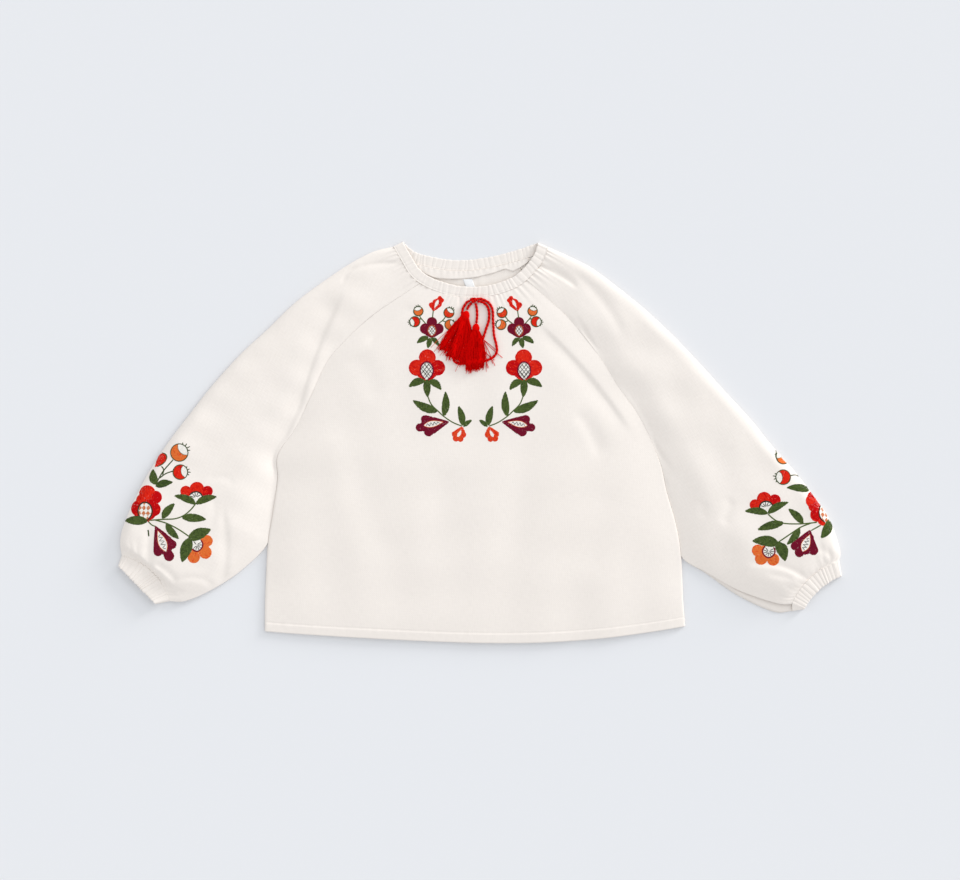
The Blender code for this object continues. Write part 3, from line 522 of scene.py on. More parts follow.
def wristGathers(sideName, run, v):
    # height of a wrist's gathers at a distance along its seam and a share of its width; the
    # sleeve's puckers start from the same ridges
    values = wrists[sideName]
    length = math.hypot(values[0] - values[2], values[1] - values[3]) + 1
    s = run + (v - 0.5) * (1.2 * np.sin(run / 6.0) + 0.7 * np.sin(run / 2.3 + 1))
    ridge = gatherRidges(s, length, wrists["gathers"], 31 if sideName == "left" else 32, 0.6)
    fine = gatherRidges(s + 1, length, wrists["gathers"] * 3, 33)
    return wrists["rib"][sideName] * (0.85 * ridge + 0.16 * fine)


# sleeves: each one folded sheet, upper layer, rounded outer fold, flat lower layer
sleeves = dict(
    wall=0.9, foldMiddle=1.9, grain=dict(left=54.8, right=-55.5),
    creases=dict(
        left=[  # x0, y0, x1, y1, bow, width, depth, lean
            (-142.0, 142.0, -182.0, 34.0, -3.0, 8.0, -1.8, -0.55),
            (-180.0, 40.0, -205.0, -34.0, -3.0, 8.0, -1.4, -0.55),
            (-80.0, 179.0, -131.0, 172.0, -3.0, 2.4, -0.7, 0.3),
            (-124.0, 175.0, -136.0, 160.0, -2.0, 2.4, -0.9, -0.5),
            (-256.0, -69.0, -258.0, -142.0, 4.0, 4.5, -0.9, -0.3),
            (-271.0, -37.0, -246.0, -41.0, 4.0, 3.5, -0.5, 0.3),
            (-266.0, -56.0, -268.0, -84.0, 2.0, 4.0, -0.5, 0.0),
            (-330.0, -86.0, -330.0, -127.0, 0.0, 5.0, -1.2, 0.2),
            (-323.0, -121.0, -303.0, -139.0, 2.0, 3.4, -0.9, 0.2),
            (-300.0, -137.0, -267.0, -143.0, 5.0, 3.2, -0.6, 0.2),
            (-318.0, -146.0, -296.0, -150.0, 2.0, 3.0, -0.6, 0.0),
        ],
        right=[
            (103.0, 114.0, 183.0, -16.0, -5.0, 7.0, -2.8, -0.6),
            (52.0, 178.0, 96.0, 156.0, 3.0, 3.6, -1.5, 0.2),
            (92.0, 171.0, 142.0, 108.0, 5.0, 6.0, -1.0, 0.0),
            (250.0, -57.0, 242.0, -80.0, 1.0, 5.0, -0.8, 0.0),
            (223.0, -60.0, 222.0, -74.0, 0.0, 5.0, -0.5, 0.0),
            (271.0, -121.0, 322.0, -134.0, 5.0, 3.5, -1.1, 0.3),
            (289.0, -133.0, 310.0, -137.0, 2.0, 3.0, -0.6, 0.2),
            (336.0, -106.0, 351.0, -115.0, 2.0, 3.5, -0.9, 0.2),
        ]))


def makeSleeve(name, sideName):
    # upper layer from the front's side edge, a rounded outer fold, and a flat lower layer
    # from the back's side edge
    side = -1.0 if sideName == "left" else 1.0
    table = sleeveRows[sideName]
    dense = spline(table, rowSteps)
    shared = cornerRow * rowSteps + 1
    first = 0 if side < 0 else 2
    dense[:shared, 2:4] = spline(bodyRows, rowSteps)[:shared, first:first + 2]
    dense[:shared, 4:6] = spline(backRows(), rowSteps)[:shared, first:first + 2]
    last = (len(table) - 1) * rowSteps
    rowAt = np.concatenate([[0, 0.4, 0.9, 1.6, 4, 8], np.linspace(12, last - 8, 150),
                            last - np.array([6, 4, 2.4, 1.4, 0.7, 0.3, 0.0])])
    rows = pick(dense, rowAt)
    tableRow = (rowAt / rowSteps)[:, None]
    ease = np.clip(1 - tableRow / 3.0, 0, 1) ** 2
    outer, upper, lower = rows[:, 0:2], rows[:, 2:4], rows[:, 4:6]
    seamZ, loft, bow = rows[:, 6:7], rows[:, 7:8], rows[:, 8:9]
    middle = sleeves["foldMiddle"]
    crown = np.maximum(seamZ + loft, 3.7)
    wide = np.minimum(12.0, (crown - middle) ** 2 / 1.5)
    edge = 0 if side < 0 else -1
    fold = neck["front"][0][edge] + neck["front"][2][edge] * (casingWidth + 0.03)
    creases = sleeves["creases"][sideName]

    def place(start, half, t):
        # plan of a layer between its inner line and the fold, eased onto the neck seam
        line = outer - start
        across = np.stack([-line[:, 1], line[:, 0]], 1)
        across = across / np.linalg.norm(line, axis=1)[:, None] * side
        point = start[:, None] + line[:, None] * t[..., None]
        point -= across[:, None] * (bow * 4 * t * (1 - t))[..., None]
        base = start[0] + (outer[0] - start[0]) * t[0][:, None]
        bend = np.array([-(outer[0] - start[0])[1], (outer[0] - start[0])[0]])
        bend = bend / np.linalg.norm(bend) * side
        base = base - bend * (bow[0, 0] * 4 * t[0] * (1 - t[0]))[:, None]
        ends = table[0][2:4] if half == "front" else table[0][4:6]
        shift = seamPart(half, ends, fold, t[0], 0.03 if half == "front" else 0.3) - base
        return point + ease[:, :, None] * shift[None]

    length = np.linalg.norm(outer - upper, axis=1)[:, None]
    lowLength = np.linalg.norm(outer - lower, axis=1)[:, None]
    fineD = np.array([0.02, 0.14, 0.3, 0.5, 0.9, 1.8])[None, :] / length
    start = 3.2 / length
    span = 1 - wide / length
    tUpper = np.concatenate([fineD, start + (span - start) * np.linspace(0, 1, 78)[None]], 1)
    angles = np.radians(np.linspace(84, 0, 14))[None]
    tNose = 1 - wide * (1 - np.cos(angles)) / length
    tTop = np.concatenate([tUpper, tNose], 1)
    plan = place(upper, "front", tTop)
    x, y = plan[..., 0], plan[..., 1]
    rise = np.sin(math.pi / 2 * np.clip(tTop / riseShare, 0, 1))
    z = seamZ + (crown - seamZ) * rise
    outward = smooth((1 - tTop) * length / 9.0)
    change = creased(x, y, creases) + rumpled(x, y, 5 if side < 0 else 8, 48.0, 0.4)
    along = np.concatenate([[0], np.cumsum(np.linalg.norm(np.diff(
        (upper + outer) / 2, axis=0), axis=1))])[:, None]
    toCuff = along[-1:] - along
    change = change * smooth(toCuff / 5.0)
    z = z + change * smooth(tTop * length / 5.0) * (0.25 + 0.75 * outward)
    z = np.maximum(z, 2.5)
    # puckers that run from the wrist casing and from the neck casing into the sleeve
    run = tTop * length[-1]
    near, far = wrists["reach"]
    z += (wristGathers(sideName, run, 0.0) - 0.1) * np.exp(-toCuff / near)
    z += 0.9 * (gatherRidges(run + 2 * np.sin(toCuff / 6.0), length[-1, 0] + 1, 7, 35, 0.9)
                - 0.5) * smooth(toCuff / 4.0) * np.exp(-toCuff / far) * smooth(tTop * 8)
    z += 0.4 * np.sin(tTop * 2 * math.pi * 9 + np.sin(tTop * 15)) * np.exp(-along / 8.0)
    # the last millimetres come down softly to the height at the wrist seam
    z = z[-1:] + (z - z[-1:]) * smooth(toCuff / 13.0)
    sinNose = np.sin(angles)
    nUpper = tUpper.shape[1]
    z[:, nUpper:] = middle + (np.maximum(z[:, nUpper:], 3.4) - middle) * sinNose
    z[:, :nUpper] -= rollDown(tUpper * length, 0.12 + 0.4 * smooth(tableRow - cornerRow)
                              + 0 * tUpper)
    z[:, :nUpper] -= rollDown(along + 0 * tUpper, 0.25 + 0 * tUpper)
    flat = 2.0
    down = np.radians(np.linspace(0, 84, 9))[None, 1:]
    tLow = np.concatenate([1 - flat * (1 - np.cos(down)) / lowLength,
                           (1 - flat / lowLength) * np.linspace(1, 0, 26)[None]], 1)
    planLow = place(lower, "back", tLow)
    zLow = np.concatenate([middle * (1 - np.sin(down)) + 0 * lowLength,
                           np.zeros((len(rows), 26))], 1)
    grid = np.concatenate([np.dstack([x, y, z]), np.dstack([planLow, zLow])], axis=1)
    angle = math.radians(sleeves["grain"][sideName])
    flatPlan = grid[..., :2].copy()
    uv = np.dstack([flatPlan[..., 0] * math.cos(angle) + flatPlan[..., 1] * math.sin(angle),
                    -flatPlan[..., 0] * math.sin(angle) + flatPlan[..., 1] * math.cos(angle)])
    obj = shell(name, grid, sleeves["wall"], [linenMat], uv, flip=side < 0)
    return obj


sleeveObjs = {}
for sideName, node in (("left", "sleeve_left"), ("right", "sleeve_right")):
    sleeveObjs[sideName] = makeSleeve(sideName + "Sleeve", sideName)
    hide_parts(node)
    print(sideName, "sleeve", len(sleeveObjs[sideName].data.polygons))


# neck casing: a closed gathered ring, front half on top, back half seen from its inside
casing = dict(wall=0.9, width=casingWidth, top=4.7, middle=2.25, gathers=64, rib=0.45, front=460,
              back=420, turn=14, across=18)


def ringAngles(nUpper, nTurn, nLower):
    # the way round a flattened ring: its top, a rounded fold, its underside, a second fold;
    # gives each station's share of the top or underside and the turning angle's sine
    turn = np.linspace(math.pi / 2, -math.pi / 2, nTurn + 2)[1:-1]
    parts = [(np.linspace(0, 1, nUpper), 0 * np.linspace(0, 1, nUpper), 1.0 + np.zeros(nUpper)),
             (np.ones(nTurn), np.cos(turn), np.sin(turn)),
             (np.linspace(1, 0, nLower), 0 * np.linspace(0, 1, nLower), -1.0 + np.zeros(nLower)),
             (np.zeros(nTurn), -np.cos(turn[::-1]), np.sin(turn[::-1]))]
    return [np.concatenate([p[k] for p in parts]) for k in range(3)]


def makeCasing():
    # stations round the flattened ring, each with its ridges along the casing's width
    share, out, up = ringAngles(casing["front"], casing["turn"], casing["back"])
    middle = casing["middle"]
    v = np.linspace(0, 1, casing["across"])
    v = 0.5 * v + 0.5 * smooth(v)
    stations = []
    for half in ("front", "back"):
        edge, _, normal = neck[half]
        inset = middle / np.linalg.norm(np.diff(edge, axis=0), axis=1).sum()
        at = (inset + (1 - 2 * inset) * share + inset * out) * (len(edge) - 1)
        stations.append((pick(edge, at), pick(normal, at)))
    top = (up >= 0)[:, None]
    edge = np.where(top, stations[0][0], stations[1][0])
    normal = np.where(top, stations[0][1], stations[1][1])
    normal /= np.linalg.norm(normal, axis=1)[:, None]
    run = np.concatenate([[0], np.cumsum(np.linalg.norm(np.diff(edge, axis=0), axis=1))])
    total = run[-1] + 1.0
    drift = 1.6 * np.sin(run / 11.0) + 0.8 * np.sin(run / 3.7)
    s = run[:, None] + (v[None] - 0.5) * drift[:, None]
    ridge = gatherRidges(s, total, casing["gathers"], 21)
    fine = gatherRidges(s + 2.0, total, casing["gathers"] * 3, 22)
    shape = 0.72 + 0.28 * np.abs(2 * v - 1) ** 1.5
    rib = casing["rib"] * (0.86 * ridge + 0.16 * fine) * shape[None] * np.abs(up)[:, None]
    rib = rib * np.where(up > 0, 1.0, 0.9)[:, None]
    scallop = 0.45 * (ridge[:, :1] - 0.6) * (1 - v[None]) ** 4
    across = v[None] * casing["width"] - scallop
    x = edge[:, 0:1] + normal[:, 0:1] * across
    y = edge[:, 1:2] + normal[:, 1:2] * across
    z = middle + (casing["top"] - middle) * np.maximum(up, 0)[:, None] \
        + middle * np.minimum(up, 0)[:, None] + 0 * x
    wall = casing["wall"]
    inner = np.dstack([x - out[:, None] * wall, y, z - up[:, None] * wall])
    roll = rollDown(v * casing["width"], 1.1) + rollDown((1 - v) * casing["width"], 0.25)
    stitch = 0.28 * np.exp(-(((1 - v) * casing["width"] - 1.5) / 0.45) ** 2)
    press = (0.45 * roll + stitch)[None] * np.abs(up)[:, None]
    outer = np.dstack([x, y, z + np.where(up > 0, 1.0, 0.0)[:, None] * (rib - press)])
    inner[..., 2] += np.where(up < 0, 1.0, 0.0)[:, None] * (rib - 0.7 * press)
    uv = np.dstack([run[:, None] + 0 * x, across])
    return shell("neckCasing", outer, wall, [linenMat], uv, closed=True, flip=True, inner=inner)


casingObj = makeCasing()
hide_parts("neck_casing")
print("neck casing", len(casingObj.data.polygons))


def makeWrist(name, sideName):
    # flattened gathered ring between the sleeve's seam and the free edge
    side = -1.0 if sideName == "left" else 1.0
    values = wrists[sideName]
    corner = [np.array(values[k:k + 2]) for k in (0, 2, 4, 6)]
    seamOuter, seamInner, edgeOuter, edgeInner = corner
    seamBow, edgeBow, seamTop, edgeTop = values[8:12]
    seamLow = np.array(values[12:14])
    share, out, up = ringAngles(wrists["upper"], wrists["turn"], wrists["lower"])
    middle, wall = wrists["middle"], wrists["wall"]
    nose = 2.2 / np.linalg.norm(seamOuter - seamInner)
    at = (nose + (1 - 2 * nose) * share + nose * out)[:, None]
    low = (1.0 - np.maximum(up, 0))[:, None]
    ends = []
    for inner, outer, bow in ((seamInner * (1 - low) + seamLow * low, seamOuter, seamBow),
                              (edgeInner + 0 * low, edgeOuter, edgeBow)):
        line = outer - inner
        bend = np.stack([-line[:, 1], line[:, 0]], 1)
        bend = bend / np.linalg.norm(line, axis=1)[:, None] * side
        ends.append(inner + line * at - bend * bow * 4 * at * (1 - at))
    v = np.linspace(0, 1, wrists["across"])
    v = 0.5 * v + 0.5 * smooth(v)
    reach = np.linalg.norm(ends[1] - ends[0], axis=1)[:, None]
    way = (ends[1] - ends[0]) / reach
    run = at * np.linalg.norm(seamOuter - seamInner)
    rib = wristGathers(sideName, run, v[None]) * np.maximum(up, 0)[:, None]
    scallop = (rib[:, -1:] - 0.6) * v[None] ** 5 * np.maximum(up, 0)[:, None]
    rib = rib * (0.80 + 0.20 * np.abs(2 * v - 1) ** 1.5)[None]
    across = 0.02 + (reach - 0.02) * v[None] + scallop
    x = ends[0][:, 0:1] + way[:, 0:1] * across
    y = ends[0][:, 1:2] + way[:, 1:2] * across
    lowEnd, width = wrists["lowEnd"], wrists["width"]
    seamRise = lowEnd + (seamTop - lowEnd) * np.sin(math.pi / 2 * np.clip(at / riseShare, 0, 1))
    top = seamRise + (edgeTop - seamRise) * v[None]
    nearFold = np.clip((1 - at) * np.linalg.norm(seamOuter - seamInner) / (7.3 - 4.9 * v), 0, 1)
    top = middle + (top - middle) * np.maximum(np.sqrt(1 - (1 - nearFold) ** 2), 0.3)
    z = middle + (top - middle) * np.maximum(up, 0)[:, None] \
        + middle * np.minimum(up, 0)[:, None] + 0 * x
    axis = (seamOuter - seamInner) / np.linalg.norm(seamOuter - seamInner)
    inner = np.dstack([x - axis[0] * out[:, None] * wall, y - axis[1] * out[:, None] * wall,
                       z - up[:, None] * wall])
    roll = rollDown((1 - v) * width, wrists["edgeRoll"])
    stitch = 0.06 * np.exp(-((v * width - 1.4) / 0.6) ** 2)
    press = (0.6 * roll + stitch)[None] * np.maximum(up, 0)[:, None]
    outer = np.dstack([x, y, z + rib - press])
    uv = np.dstack([run + 0 * x, across])
    return shell(name, outer, wall, [linenMat], uv, closed=True, flip=side > 0, inner=inner)


for sideName, node in (("left", "cuff_left"), ("right", "cuff_right")):
    makeWrist(sideName + "Wrist", sideName)
    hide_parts(node)


# back neck facing with its loose wavy edge, and the bare label under it
facing = dict(wall=0.7, lie=1.05, wave=0.55, across=14, columns=180)
label = dict(top=((-17.2, 163.0), (-7.9, 163.6)), low=((-10.4, 145.2), (-1.2, 145.2)),
             wall=0.35, lie=1.15)


def makeFacing():
    # strip from the back neck seam down to its loose wavy edge
    edge = resample(spline(facingEdge, 12), facing["columns"])
    seam = neck["back"][1] + neck["back"][2] * 0.06
    first = np.argmin(np.abs(seam[:, 0] - facingEdge[0][0]))
    last = np.argmin(np.abs(seam[:, 0] - facingEdge[-1][0]))
    top = resample(seam[first:last + 1], facing["columns"])
    v = np.linspace(0, 1, facing["across"])[:, None]
    s = np.linspace(0, 1, facing["columns"])[None]
    x = top[None, :, 0] * (1 - v) + edge[None, :, 0] * v
    y = top[None, :, 1] * (1 - v) + edge[None, :, 1] * v
    swell = np.sin(s * 2 * math.pi * 6.5 + 1.7 * np.sin(s * 9)) * v ** 1.5
    fine = np.sin(s * 2 * math.pi * 21 + 2 * np.sin(s * 14)) * (1 - v) ** 2
    rise = facing["wave"] * (0.5 + 0.5 * swell) * v + 0.22 * fine
    low = facing["lie"] + 0.25 + np.maximum(rise, -0.1)
    lower = np.dstack([x, y, low])
    upper = np.dstack([x, y, low + facing["wall"] - 0.35 * rollDown((1 - v) * 9, 0.9)])
    return shell("backFacing", upper, facing["wall"], [linenMat], np.dstack([x, y]),
                 inner=lower)


def makeLabel():
    # a flat strip between its four corners, swelled a little along its length
    u = np.linspace(0, 1, 9)[None, :, None]
    v = np.linspace(0, 1, 13)[:, None, None]
    a, b, c, d = (np.array(p) for p in (*label["top"], *label["low"]))
    plan = (a * (1 - u) + b * u) * (1 - v) + (c * (1 - u) + d * u) * v
    z = label["lie"] + 0.35 * np.sin(math.pi * v[..., 0]) + 0.12 * np.sin(u[..., 0] * 5)
    upper = np.dstack([plan, z + label["wall"]])
    return shell("neckLabel", upper, label["wall"], [tapeMat], plan,
                 inner=np.dstack([plan, z]))


facingObj = makeFacing()
labelObj = makeLabel()
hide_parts("back_facing")
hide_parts("neck_label")
print("facing and label")


# drawstring: twisted red cord, each run's route in millimetres starting in the knot
cord = dict(
    thick=2.65, twist=7.6, plies=2, around=16, step=0.45, gap=0.15,
    outerLoop=[(-2.6, 143.2), (1.6, 143.1), (8.7, 139.3), (12.5, 132.2), (13.0, 121.7),
               (13.9, 107.6), (16.3, 97.0), (16.6, 90.0), (13.0, 85.0), (6.0, 81.6),
               (-4.0, 79.6), (-14.0, 78.8), (-21.0, 78.6), (-26.0, 82.0), (-26.4, 92.0),
               (-23.0, 104.0), (-19.6, 114.0), (-18.3, 124.0), (-17.2, 133.0),
               (-13.4, 139.4), (-10.4, 141.2)],
    innerLoop=[(-2.2, 140.6), (2.6, 139.9), (7.0, 136.0), (8.9, 130.6), (8.7, 121.7),
               (5.7, 112.3), (3.2, 104.0), (0.4, 98.0)],
    leftEnd=[(-8.6, 138.8), (-11.0, 136.2), (-12.9, 132.7)],
    rightEnd=[(-4.4, 138.6), (-3.2, 133.0), (-2.9, 126.0), (-3.6, 119.3)])
knot = dict(centre=(-6.3, 141.9), size=(2.5, 1.7, 0.9), thick=2.7, around=12, twist=7.0)


def threadMaterial(name, colour, roughness, grain=0.12, specular=0.12, paintedShadeAndTone=0.0):
    # thread or cord: uneven tone over the object, and darker where the second coordinate of the
    # UV map falls; on a cord that coordinate is the height of a ply, so the grooves between the
    # plies get painted shade; on a tassel it gives painted shade between the head's ridges and a
    # random tone for each clump of the skirt
    mat, shader = principled(name, colour, roughness)
    shader.inputs["Specular IOR Level"].default_value = specular
    tree = mat.node_tree
    place = tree.nodes.new("ShaderNodeTexCoord")
    noise = tree.nodes.new("ShaderNodeTexNoise")
    noise.inputs["Scale"].default_value = 900.0
    noise.inputs["Detail"].default_value = 2.0
    tree.links.new(place.outputs["Object"], noise.inputs["Vector"])
    tone = mathNode(tree, "ADD", mathNode(tree, "MULTIPLY", noise.outputs["Fac"], grain * 3),
                    1.0 - grain * 1.5)
    # painted shade: the tone falls with the UV's second coordinate, by this strength
    if paintedShadeAndTone:
        uv = tree.nodes.new("ShaderNodeUVMap")
        uv.uv_map = "UVMap"
        part = tree.nodes.new("ShaderNodeSeparateXYZ")
        tree.links.new(uv.outputs[0], part.inputs[0])
        ply = mathNode(tree, "ADD", mathNode(tree, "MULTIPLY", part.outputs[1], paintedShadeAndTone),
                       1.0 - paintedShadeAndTone)
        tone = mathNode(tree, "MULTIPLY", tone, ply)
    tint(tree, shader, colour, tone)
    bump = tree.nodes.new("ShaderNodeBump")
    bump.inputs["Strength"].default_value = 0.35
    bump.inputs["Distance"].default_value = 0.0003
    tree.links.new(noise.outputs["Fac"], bump.inputs["Height"])
    tree.links.new(bump.outputs[0], shader.inputs["Normal"])
    return mat


# cord: the ply height in its UV map darkens the grooves between the plies, painted shade
cordRed = threadMaterial("cordRed", (0.78, 0.006, 0.004), 0.75, specular=0.05, paintedShadeAndTone=0.85)
# tassel: its head's UV gives painted shade between the ridges; its skirt's UV gives each clump a
# random tone
tasselRed = threadMaterial("tasselRed", (0.96, 0.004, 0.003), 0.85, 0.08, 0.0, paintedShadeAndTone=0.55)


def treeOf(*objects):
    # one search tree over the meshes of several objects
    verts, faces, start = [], [], 0
    for obj in objects:
        mesh = obj.data
        co = np.empty(len(mesh.vertices) * 3, dtype=np.float32)
        mesh.vertices.foreach_get("co", co)
        verts.append(co.reshape(-1, 3))
        size = mesh.polygons[0].loop_total
        index = np.empty(len(mesh.loops), dtype=np.int32)
        mesh.loops.foreach_get("vertex_index", index)
        faces += (index.reshape(-1, size) + start).tolist()
        start += len(mesh.vertices)
    return BVHTree.FromPolygons(np.concatenate(verts).tolist(), faces)


def heightMap(tree, box, step):
    # highest surface under each point of a raster, in millimetres; nothing there gives nan
    xs = np.arange(box[0], box[1] + step, step)
    ys = np.arange(box[2], box[3] + step, step)
    down = Vector((0, 0, -1))
    z = np.full((len(xs), len(ys)), np.nan)
    for i, x in enumerate(xs):
        for j, y in enumerate(ys):
            hit = tree.ray_cast(Vector((x * mm, y * mm, 0.1)), down)[0]
            if hit is not None:
                z[i, j] = hit.z / mm
    return dict(x0=xs[0], y0=ys[0], step=step, z=z)


def readMap(raster, x, y):
    # bilinear reading of a raster
    z = raster["z"]
    u = np.clip((x - raster["x0"]) / raster["step"], 0, z.shape[0] - 1.001)
    v = np.clip((y - raster["y0"]) / raster["step"], 0, z.shape[1] - 1.001)
    i, j = u.astype(int), v.astype(int)
    a, b = u - i, v - j
    return (z[i, j] * (1 - a) * (1 - b) + z[i + 1, j] * a * (1 - b)
            + z[i, j + 1] * (1 - a) * b + z[i + 1, j + 1] * a * b)


def widened(raster, reach):
    # each point takes the highest value within the reach, so that a thing laid there clears
    z = np.nan_to_num(raster["z"], nan=0.0)
    n = int(math.ceil(reach / raster["step"]))
    best = z.copy()
    for i in range(-n, n + 1):
        for j in range(-n, n + 1):
            if math.hypot(i, j) * raster["step"] <= reach + 1e-6:
                best = np.maximum(best, np.roll(np.roll(z, i, 0), j, 1))
    return dict(raster, z=best)


def eased(values, times):
    # running mean that keeps the two ends
    for _ in range(times):
        values = values.copy()
        values[1:-1] = 0.25 * values[:-2] + 0.5 * values[1:-1] + 0.25 * values[2:]
    return values


def sweptTube(line, radius, around, plies, twist, closed=False):
    # tube round a line: at each station a ring in the plane across the line, whose radius
    # swells once for each ply and turns with the distance along; the ends close to a point,
    # and the UV map holds the distance along and the ply's height
    line = np.asarray(line, dtype=float)
    along = np.concatenate([[0], np.cumsum(np.linalg.norm(np.diff(line, axis=0), axis=1))])
    if closed:
        tangent = np.roll(line, -1, 0) - np.roll(line, 1, 0)
    else:
        tangent = np.gradient(line, axis=0)
    tangent /= np.linalg.norm(tangent, axis=1)[:, None]
    side = np.cross(tangent, np.array([0.0, 0.0, 1.0]))
    side /= np.maximum(np.linalg.norm(side, axis=1), 1e-6)[:, None]
    top = np.cross(side, tangent)
    phi = np.arange(around) / around * 2 * math.pi
    radius = np.broadcast_to(np.asarray(radius, dtype=float), (len(line),))
    turn = phi[None] - (2 * math.pi / twist * along)[:, None]
    ply = np.abs(np.cos(turn * plies / 2)) ** 0.8
    r = radius[:, None] * (0.66 + 0.38 * ply)
    ring = (line[:, None] + side[:, None] * (r * np.cos(phi))[..., None]
            + top[:, None] * (r * np.sin(phi))[..., None])
    verts = ring.reshape(-1, 3)
    # the ply's height goes to the UV map, where the cord material turns it into painted shade in
    # the grooves between the plies
    uv = np.stack([np.repeat(along, around), ply.ravel()], 1)
    i = np.arange(len(line) if closed else len(line) - 1)[:, None]
    j = np.arange(around)[None]
    i2, j2 = (i + 1) % len(line), (j + 1) % around
    faces = np.stack([i * around + j, i * around + j2, i2 * around + j2, i2 * around + j], -1)
    faces = faces.reshape(-1, 4)
    if not closed:
        ends = np.stack([line[0] - tangent[0] * radius[0] * 0.5,
                         line[-1] + tangent[-1] * radius[-1] * 0.5])
        total = len(verts)
        verts = np.concatenate([verts, ends])
        uv = np.concatenate([uv, [[0, 0.5], [along[-1], 0.5]]])
        a = np.arange(0, around, 2)
        first = np.stack([np.full(len(a), total), (a + 2) % around, (a + 1) % around, a], 1)
        base = (len(line) - 1) * around
        final = np.stack([np.full(len(a), total + 1), base + a, base + (a + 1) % around,
                          base + (a + 2) % around], 1)
        faces = np.concatenate([faces, first, final])
    return verts, faces, uv


clothTree = treeOf(frontObj, casingObj)
chestMap = heightMap(clothTree, (-76.0, 66.0, -6.0, 158.0), 0.8)  # left, right, low, high
cordRest = widened(chestMap, 1.6)


def cordLine(route):
    # a run laid on the cloth: its plan evenly spaced, its height half a thickness over
    # the highest cloth beside it
    plan = spline(route, 12)
    length = np.linalg.norm(np.diff(plan, axis=0), axis=1).sum()
    plan = resample(plan, int(length / cord["step"]) + 2)
    z = readMap(cordRest, plan[:, 0], plan[:, 1]) + cord["gap"] + cord["thick"] / 2
    return np.column_stack([plan, eased(z, 6)])


def makeCord(name, route, node):
    # twisted cord along its run
    line = cordLine(route)
    verts, faces, uv = sweptTube(line, cord["thick"] / 2, cord["around"], cord["plies"],
                                 cord["twist"])
    obj = meshObject(name, verts * mm, faces, [cordRed], uv)
    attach(obj, "root")
    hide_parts(node)
    return obj, line


cordObjs, cordLines = {}, {}
for key, node in (("outerLoop", "cord_outer_loop"), ("innerLoop", "cord_inner_loop"),
                  ("leftEnd", "cord_left"), ("rightEnd", "cord_right")):
    name = "cord" + key[0].upper() + key[1:]
    cordObjs[key], cordLines[key] = makeCord(name, cord[key], node)
    print(name, len(cordObjs[key].data.polygons))


def makeKnot():
    # three-lobed overhand knot: in the plan a turn once round plus a turn of twice its
    # size that goes round twice, while the height rises and falls three times
    t = np.arange(150) / 150 * 2 * math.pi
    sx, sy, sz = knot["size"]
    rest = float(readMap(cordRest, np.array([knot["centre"][0]]),
                         np.array([knot["centre"][1]]))[0]) + sz + knot["thick"] / 2 + 0.1
    line = np.stack([knot["centre"][0] + sx * (np.sin(t) + 2 * np.sin(2 * t)) / 2.6,
                     knot["centre"][1] + sy * (np.cos(t) - 2 * np.cos(2 * t)) / 2.6,
                     rest - sz * np.sin(3 * t)], 1)
    verts, faces, uv = sweptTube(line, knot["thick"] / 2, knot["around"], cord["plies"],
                                 knot["twist"], True)
    obj = meshObject("drawKnot", verts * mm, faces, [cordRed], uv)
    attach(obj, "root")
    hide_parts("draw_knot")
    return obj


knotObj = makeKnot()


# tassels: head x, y, radius, neck x, y, skirt's width at the neck and its two end corners,
# outward bulge of its left and right side, lift over what lies under, loose threads
tassels = dict(
    threads=360, thread=0.38, sections=13, headFlat=2.3, clumps=30, skirt=55.0,
    headRings=30, headAround=72,
    left=dict(node="tassel_left", head=(-14.2, 127.0), radius=4.1, neck=(-14.9, 124.9),
              wide=8.4, endLeft=(-42.0, 94.5), endRight=(-13.0, 75.0), bulge=(0.3, 3.4),
              seed=51, lift=0.0, layers=3.4, strays=[]),
    right=dict(node="tassel_right", head=(-4.0, 114.7), radius=3.7, neck=(-4.2, 112.3),
               wide=6.4, endLeft=(-13.5, 74.0), endRight=(2.5, 74.5), bulge=(2.2, 3.2),
               seed=52, lift=0.8, layers=3.6, strays=[
                   # x, y where it leaves the skirt, x, y of its end, bow
                   (1.5, 104.0, 17.5, 90.0, 1.0), (2.5, 104.0, 22.5, 84.5, -1.5),
                   (2.5, 102.0, 12.5, 78.5, 1.6), (3.0, 98.0, 8.0, 73.8, -1.0),
                   (3.0, 100.0, 6.0, 74.5, 1.2), (1.5, 96.0, 14.5, 82.0, -1.6),
                   (3.0, 92.0, 15.0, 76.5, 1.8)]))


def threeSided(count, sections):
    # triangles of many closed three-sided threads: two for each side of a section, and
    # one at each end; thread after thread, faces outward
    i, j = np.arange(sections - 1)[:, None], np.arange(3)[None]
    a, b = i * 3 + j, i * 3 + (j + 1) % 3
    one = np.concatenate([np.stack([a, b, b + 3], -1).reshape(-1, 3),
                          np.stack([a, b + 3, a + 3], -1).reshape(-1, 3),
                          [[0, 2, 1]], np.array([[0, 1, 2]]) + (sections - 1) * 3])
    return (one[None] + (np.arange(count) * sections * 3)[:, None, None]).reshape(-1, 3)


def split(quads):
    # two triangles for each quad
    return np.concatenate([quads[:, [0, 1, 2]], quads[:, [0, 2, 3]]])


